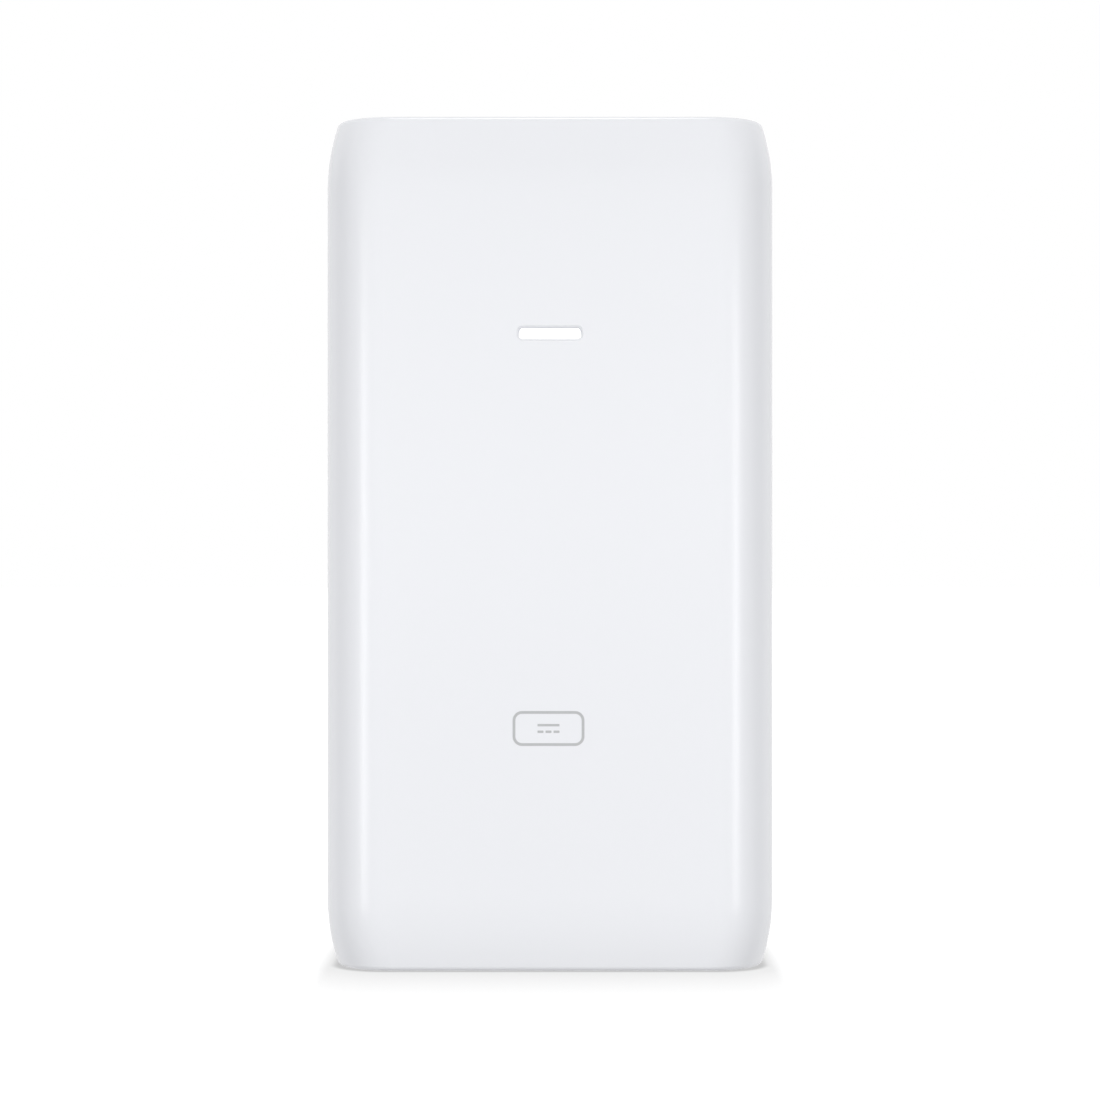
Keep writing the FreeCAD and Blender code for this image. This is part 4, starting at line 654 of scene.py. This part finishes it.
def inked_patch(ink, width, height, corner, middle):
    """Add a flat patch with round corners to the ink, in X and Y; give its face."""
    across = Matrix.Diagonal((width / 2, height / 2, 1, 1))
    place = Matrix.Translation((*middle, 0)) @ across
    made = bmesh.ops.create_grid(ink, x_segments=1, y_segments=1, size=1.0, matrix=place)
    bmesh.ops.bevel(ink, geom=made["verts"], affect="VERTICES", offset=corner,
                    offset_type="OFFSET", segments=CORNER_STEPS, profile=0.5, material=-1)
    ink.faces.ensure_lookup_table()
    return ink.faces[-1]


def settle_order(ink):
    """Put the faces in one fixed order, because extruding leaves them in a chance one."""
    ink.verts.index_update()
    count = len(ink.verts)

    def order(face):
        first, second, third = sorted(vert.index for vert in face.verts)[:3]
        return (first * count + second) * count + third

    ink.faces.sort(key=order)
    ink.faces.index_update()


def printed_mark():
    """A rounded frame round the sign for direct current: a bar over three dashes."""
    ink = bmesh.new()
    outline = inked_patch(ink, MARK_WIDTH, MARK_HEIGHT, MARK_CORNER, (0, 0))
    bmesh.ops.inset_individual(ink, faces=[outline], thickness=MARK_LINE, use_even_offset=True)
    bmesh.ops.delete(ink, geom=[outline], context="FACES_ONLY")
    rise = SIGN_GAP / 2 + SIGN_LINE / 2
    corner = SIGN_LINE * SIGN_CORNER
    inked_patch(ink, SIGN_WIDTH, SIGN_LINE, corner, (0, rise))
    pitch = SIGN_WIDTH / (DASHES - 1 + DASH_SHARE)
    for number in range(DASHES):
        sideways = (number - (DASHES - 1) / 2) * pitch
        inked_patch(ink, pitch * DASH_SHARE, SIGN_LINE, corner, (sideways, -rise))
    grown = bmesh.ops.extrude_face_region(ink, geom=ink.faces[:])
    raised = [item for item in grown["geom"] if isinstance(item, bmesh.types.BMVert)]
    bmesh.ops.translate(ink, verts=raised, vec=(0, 0, INK_STANDS + INK_SINKS))
    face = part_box("front_shell")[0].y
    upright = Matrix.Rotation(math.radians(90), 4, "X")
    place = Matrix.Translation((MARK_SIDEWAYS, face + INK_SINKS, MARK_ABOVE_FLOOR)) @ upright
    bmesh.ops.transform(ink, matrix=place, verts=ink.verts)
    bmesh.ops.recalc_face_normals(ink, faces=ink.faces)
    settle_order(ink)
    mesh = bpy.data.meshes.new("direct_current_mark")
    ink.to_mesh(mesh)
    ink.free()
    mark = bpy.data.objects.new("direct_current_mark", mesh)
    bpy.context.scene.collection.objects.link(mark)
    mark.data.materials.append(printing_ink())
    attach(mark, "injector")


printed_mark()


# ---- The floor ----------------------------------------------------------------------------

FLOOR_SIZE = 6.0
FLOOR_WHITE = 0.17                # what it throws back; the rest of its brightness is a glow
FLOOR_ROUGHNESS = 0.9
NEAR_GLOW = 0.71
FAR_GLOW = 0.90
NEAR_REACH = 0.1                  # the near glow turns into the far one between these
FAR_REACH = 0.7
FOOT_INSET = 1.1 * MM             # how far the housing narrows to its foot
FOOT_CORNER = 5.0 * MM
CONTACT_SHADOW_WIDTH = 1.0 * MM          # the painted contact shadow: the glow fades this near to the foot
CONTACT_SHADOW_GLOW = 0.45
TOOTH_SIZE = 0.9 * MM
TOOTH_DEPTH = 4 * MICRON


def pale_floor():
    """A plain pale sheet under the object, with the slight tooth of seamless paper. It glows,
    less near the object, and least along the foot, where that is a painted contact shadow."""
    tree = Finish("seamless_paper")
    tooth = tree.noise(tree.place(), TOOTH_SIZE, detail=3.0)
    sideways, forwards, _ = tree.axes(tree.place())
    away = tree.step(sideways * sideways + forwards * forwards, NEAR_REACH ** 2, FAR_REACH ** 2)
    glow = tree.mix(away, grey(NEAR_GLOW), grey(FAR_GLOW))
    inset = FOOT_INSET + FOOT_CORNER
    _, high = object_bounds()
    beside = tree.larger(abs(sideways) - (high.x - inset), 0.0)
    before = tree.larger(abs(forwards) - (high.y - inset), 0.0)
    beyond = tree.reach(beside, before) - FOOT_CORNER
    # Painted contact shadow: the glow drops to its contact level along the foot.
    clear = tree.step(beyond, 0.0, CONTACT_SHADOW_WIDTH)
    glow = tree.mix(clear, grey(CONTACT_SHADOW_GLOW), glow)
    finish = tree.done(grey(FLOOR_WHITE), FLOOR_ROUGHNESS, tree.relief(tooth, TOOTH_DEPTH),
                       specular_ior_level=0.1, emission_color=glow, emission_strength=1.0)
    sheet = bmesh.new()
    bmesh.ops.create_grid(sheet, x_segments=1, y_segments=1, size=FLOOR_SIZE / 2)
    mesh = bpy.data.meshes.new("floor")
    sheet.to_mesh(mesh)
    sheet.free()
    floor = bpy.data.objects.new("floor", mesh)
    bpy.context.scene.collection.objects.link(floor)
    mesh.materials.append(finish)
    floor.visible_diffuse = False
    floor.visible_glossy = False
    floor.visible_shadow = False
    floor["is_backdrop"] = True
    return floor


# ---- The sky ------------------------------------------------------------------------------

# Brightness of each share of the sky.
SKY_ALL_ROUND = 0.12
SKY_AHEAD = 0.868
SKY_BEHIND = 0.92
SKY_HIGH_SIDES = 1.0
# Bearings in degrees from straight ahead of the front, over which a share comes and goes.
BEHIND_STARTS, BEHIND_FULL = 95.0, 125.0
SIDES_START, SIDES_FULL, SIDES_END = 60.0, 90.0, 120.0
# Heights of a direction, from -1 straight down to 1 straight up.
HIGH_STARTS, HIGH_FULL = 0.2, 0.7
BELOW_DARK, BELOW_FULL = -1.0, -0.75


def studio_sky():
    """White all round to the eye. It lights the object from ahead and behind, and from high
    up at the sides, which leaves a dark gap low at each side for the rounded edges."""
    world = bpy.data.worlds.new("studio")
    bpy.context.scene.world = world
    sky = NodeTree(world)
    toward = sky.add("TexCoord", {}, {}, "Generated")
    sideways, forwards, upwards = sky.axes(toward)
    bearing = sky.angle(abs(sideways), -forwards)
    ahead = sky.larger(-forwards, 0.0)
    behind = sky.step(bearing, BEHIND_STARTS, BEHIND_FULL)
    high_sides = (sky.step(bearing, SIDES_START, SIDES_FULL)
                  * (1.0 - sky.step(bearing, SIDES_FULL, SIDES_END)))
    high_sides = high_sides * sky.step(upwards, HIGH_STARTS, HIGH_FULL)
    shaped = (SKY_ALL_ROUND + SKY_AHEAD * ahead + SKY_BEHIND * behind
              + SKY_HIGH_SIDES * high_sides)
    shaped = shaped * sky.step(upwards, BELOW_DARK, BELOW_FULL)
    seen = sky.add("LightPath", {}, {}, "Is Camera Ray")
    strength = seen + (1.0 - seen) * shaped
    light = sky.add("Background", {}, {"Color": (1.0, 1.0, 1.0, 1.0), "Strength": strength},
                    "Background")
    sky.add("OutputWorld", {}, {"Surface": light}, None)


# ---- The soft boxes -----------------------------------------------------------------------

LIGHT_FACTOR = 4                  # watts for each unit of brightness and square metre
BACKWARDS, DOWN = (0, 1, 0), (0, 0, -1)

FRONT_BOXES_AHEAD = 303 * MM
WIDE_BOX_SIZE = (440 * MM, 90 * MM)
WIDE_BOX_HEIGHT = 80 * MM
WIDE_BOX_BRIGHTNESS = 0.62
KEY_BOX_SIZE = (120 * MM, 50 * MM)
KEY_BOX_HEIGHT = 84 * MM
KEY_BOX_BRIGHTNESS = 1.0

TOP_BOX_PLACE = (0, -20 * MM, 1.0)        # over the front, so that its upper end isn't dull
TOP_BOX_SIZE = (100 * MM, 100 * MM)
TOP_BOX_BRIGHTNESS = 26.0
SHADOW_BOX_PLACE = (0, 450 * MM, 3.0)     # high up and behind, so that the shadow lies ahead
SHADOW_BOX_SIZE = (60 * MM, 900 * MM)
SHADOW_BOX_BRIGHTNESS = 590.0

EDGE_BOX_BEARING = 41.0
EDGE_BOX_REACH = 160 * MM
EDGE_BOX_SIZE = (35 * MM, 104 * MM)
EDGE_BOX_TOP = 85 * MM
EDGE_BOX_BRIGHTNESS = 3.6


def soft_box(name, place, aim, size, brightness):
    """A flat soft light of one brightness, which the camera doesn't see."""
    width, height = size
    data = bpy.data.lights.new(name, "AREA")
    data.shape = "RECTANGLE"
    data.size = width
    data.size_y = height
    data.energy = LIGHT_FACTOR * brightness * width * height
    light = bpy.data.objects.new(name, data)
    bpy.context.scene.collection.objects.link(light)
    light.location = place
    light.rotation_euler = Vector(aim).to_track_quat("-Z", "Y").to_euler()
    light.visible_camera = False
    return light


def front_boxes():
    """A wide box and a smaller, brighter one before the upper half of the front."""
    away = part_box("front_shell")[0].y - FRONT_BOXES_AHEAD
    soft_box("wide_box", (0, away, WIDE_BOX_HEIGHT), BACKWARDS, WIDE_BOX_SIZE,
             WIDE_BOX_BRIGHTNESS)
    soft_box("key_box", (0, away, KEY_BOX_HEIGHT), BACKWARDS, KEY_BOX_SIZE, KEY_BOX_BRIGHTNESS)


def overhead_boxes(floor):
    """A box straight above, and one that lights only the floor and makes its shadow."""
    soft_box("top_box", TOP_BOX_PLACE, DOWN, TOP_BOX_SIZE, TOP_BOX_BRIGHTNESS)
    shadow_box = soft_box("shadow_box", SHADOW_BOX_PLACE, DOWN, SHADOW_BOX_SIZE,
                          SHADOW_BOX_BRIGHTNESS)
    lit = bpy.data.collections.new("lit_by_shadow_box")
    lit.objects.link(floor)
    shadow_box.light_linking.receiver_collection = lit


def edge_boxes(floor):
    """Two tall narrow soft boxes that draw the lines along the rounded front edges. They
    stand no higher than the object, so its top doesn't mirror them, and leave the floor out."""
    unlit = bpy.data.collections.new("not_lit_by_edge_boxes")
    unlit.objects.link(floor)
    for item in unlit.collection_objects:
        item.light_linking.link_state = "EXCLUDE"
    low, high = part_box("front_shell")
    middle = EDGE_BOX_TOP - EDGE_BOX_SIZE[1] / 2
    for side in (-1, 1):
        bearing = math.radians(EDGE_BOX_BEARING) * side
        toward = Vector((math.sin(bearing), -math.cos(bearing), 0))
        edge = Vector((high.x * side, low.y, middle))
        box = soft_box("edge_box", edge + toward * EDGE_BOX_REACH, -toward, EDGE_BOX_SIZE,
                       EDGE_BOX_BRIGHTNESS)
        box.light_linking.receiver_collection = unlit


# ---- The camera ---------------------------------------------------------------------------

CAMERA_REACH = 300 * MM
CAMERA_HEIGHT = 42.38 * MM
CAMERA_LENS = 98.0
CAMERA_FILM = 36.0


def camera():
    """Straight on to the front, a little below the middle of its height."""
    data = bpy.data.cameras.new("camera")
    data.sensor_width = CAMERA_FILM
    data.lens = CAMERA_LENS
    view = bpy.data.objects.new("camera", data)
    bpy.context.scene.collection.objects.link(view)
    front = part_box("front_shell")[0].y
    view.location = (0, front - CAMERA_REACH, CAMERA_HEIGHT)
    view.rotation_euler = (math.radians(90), 0, 0)
    bpy.context.scene.camera = view


paper = pale_floor()
studio_sky()
front_boxes()
overhead_boxes(paper)
edge_boxes(paper)
camera()
bpy.context.scene.view_settings.view_transform = "Standard"
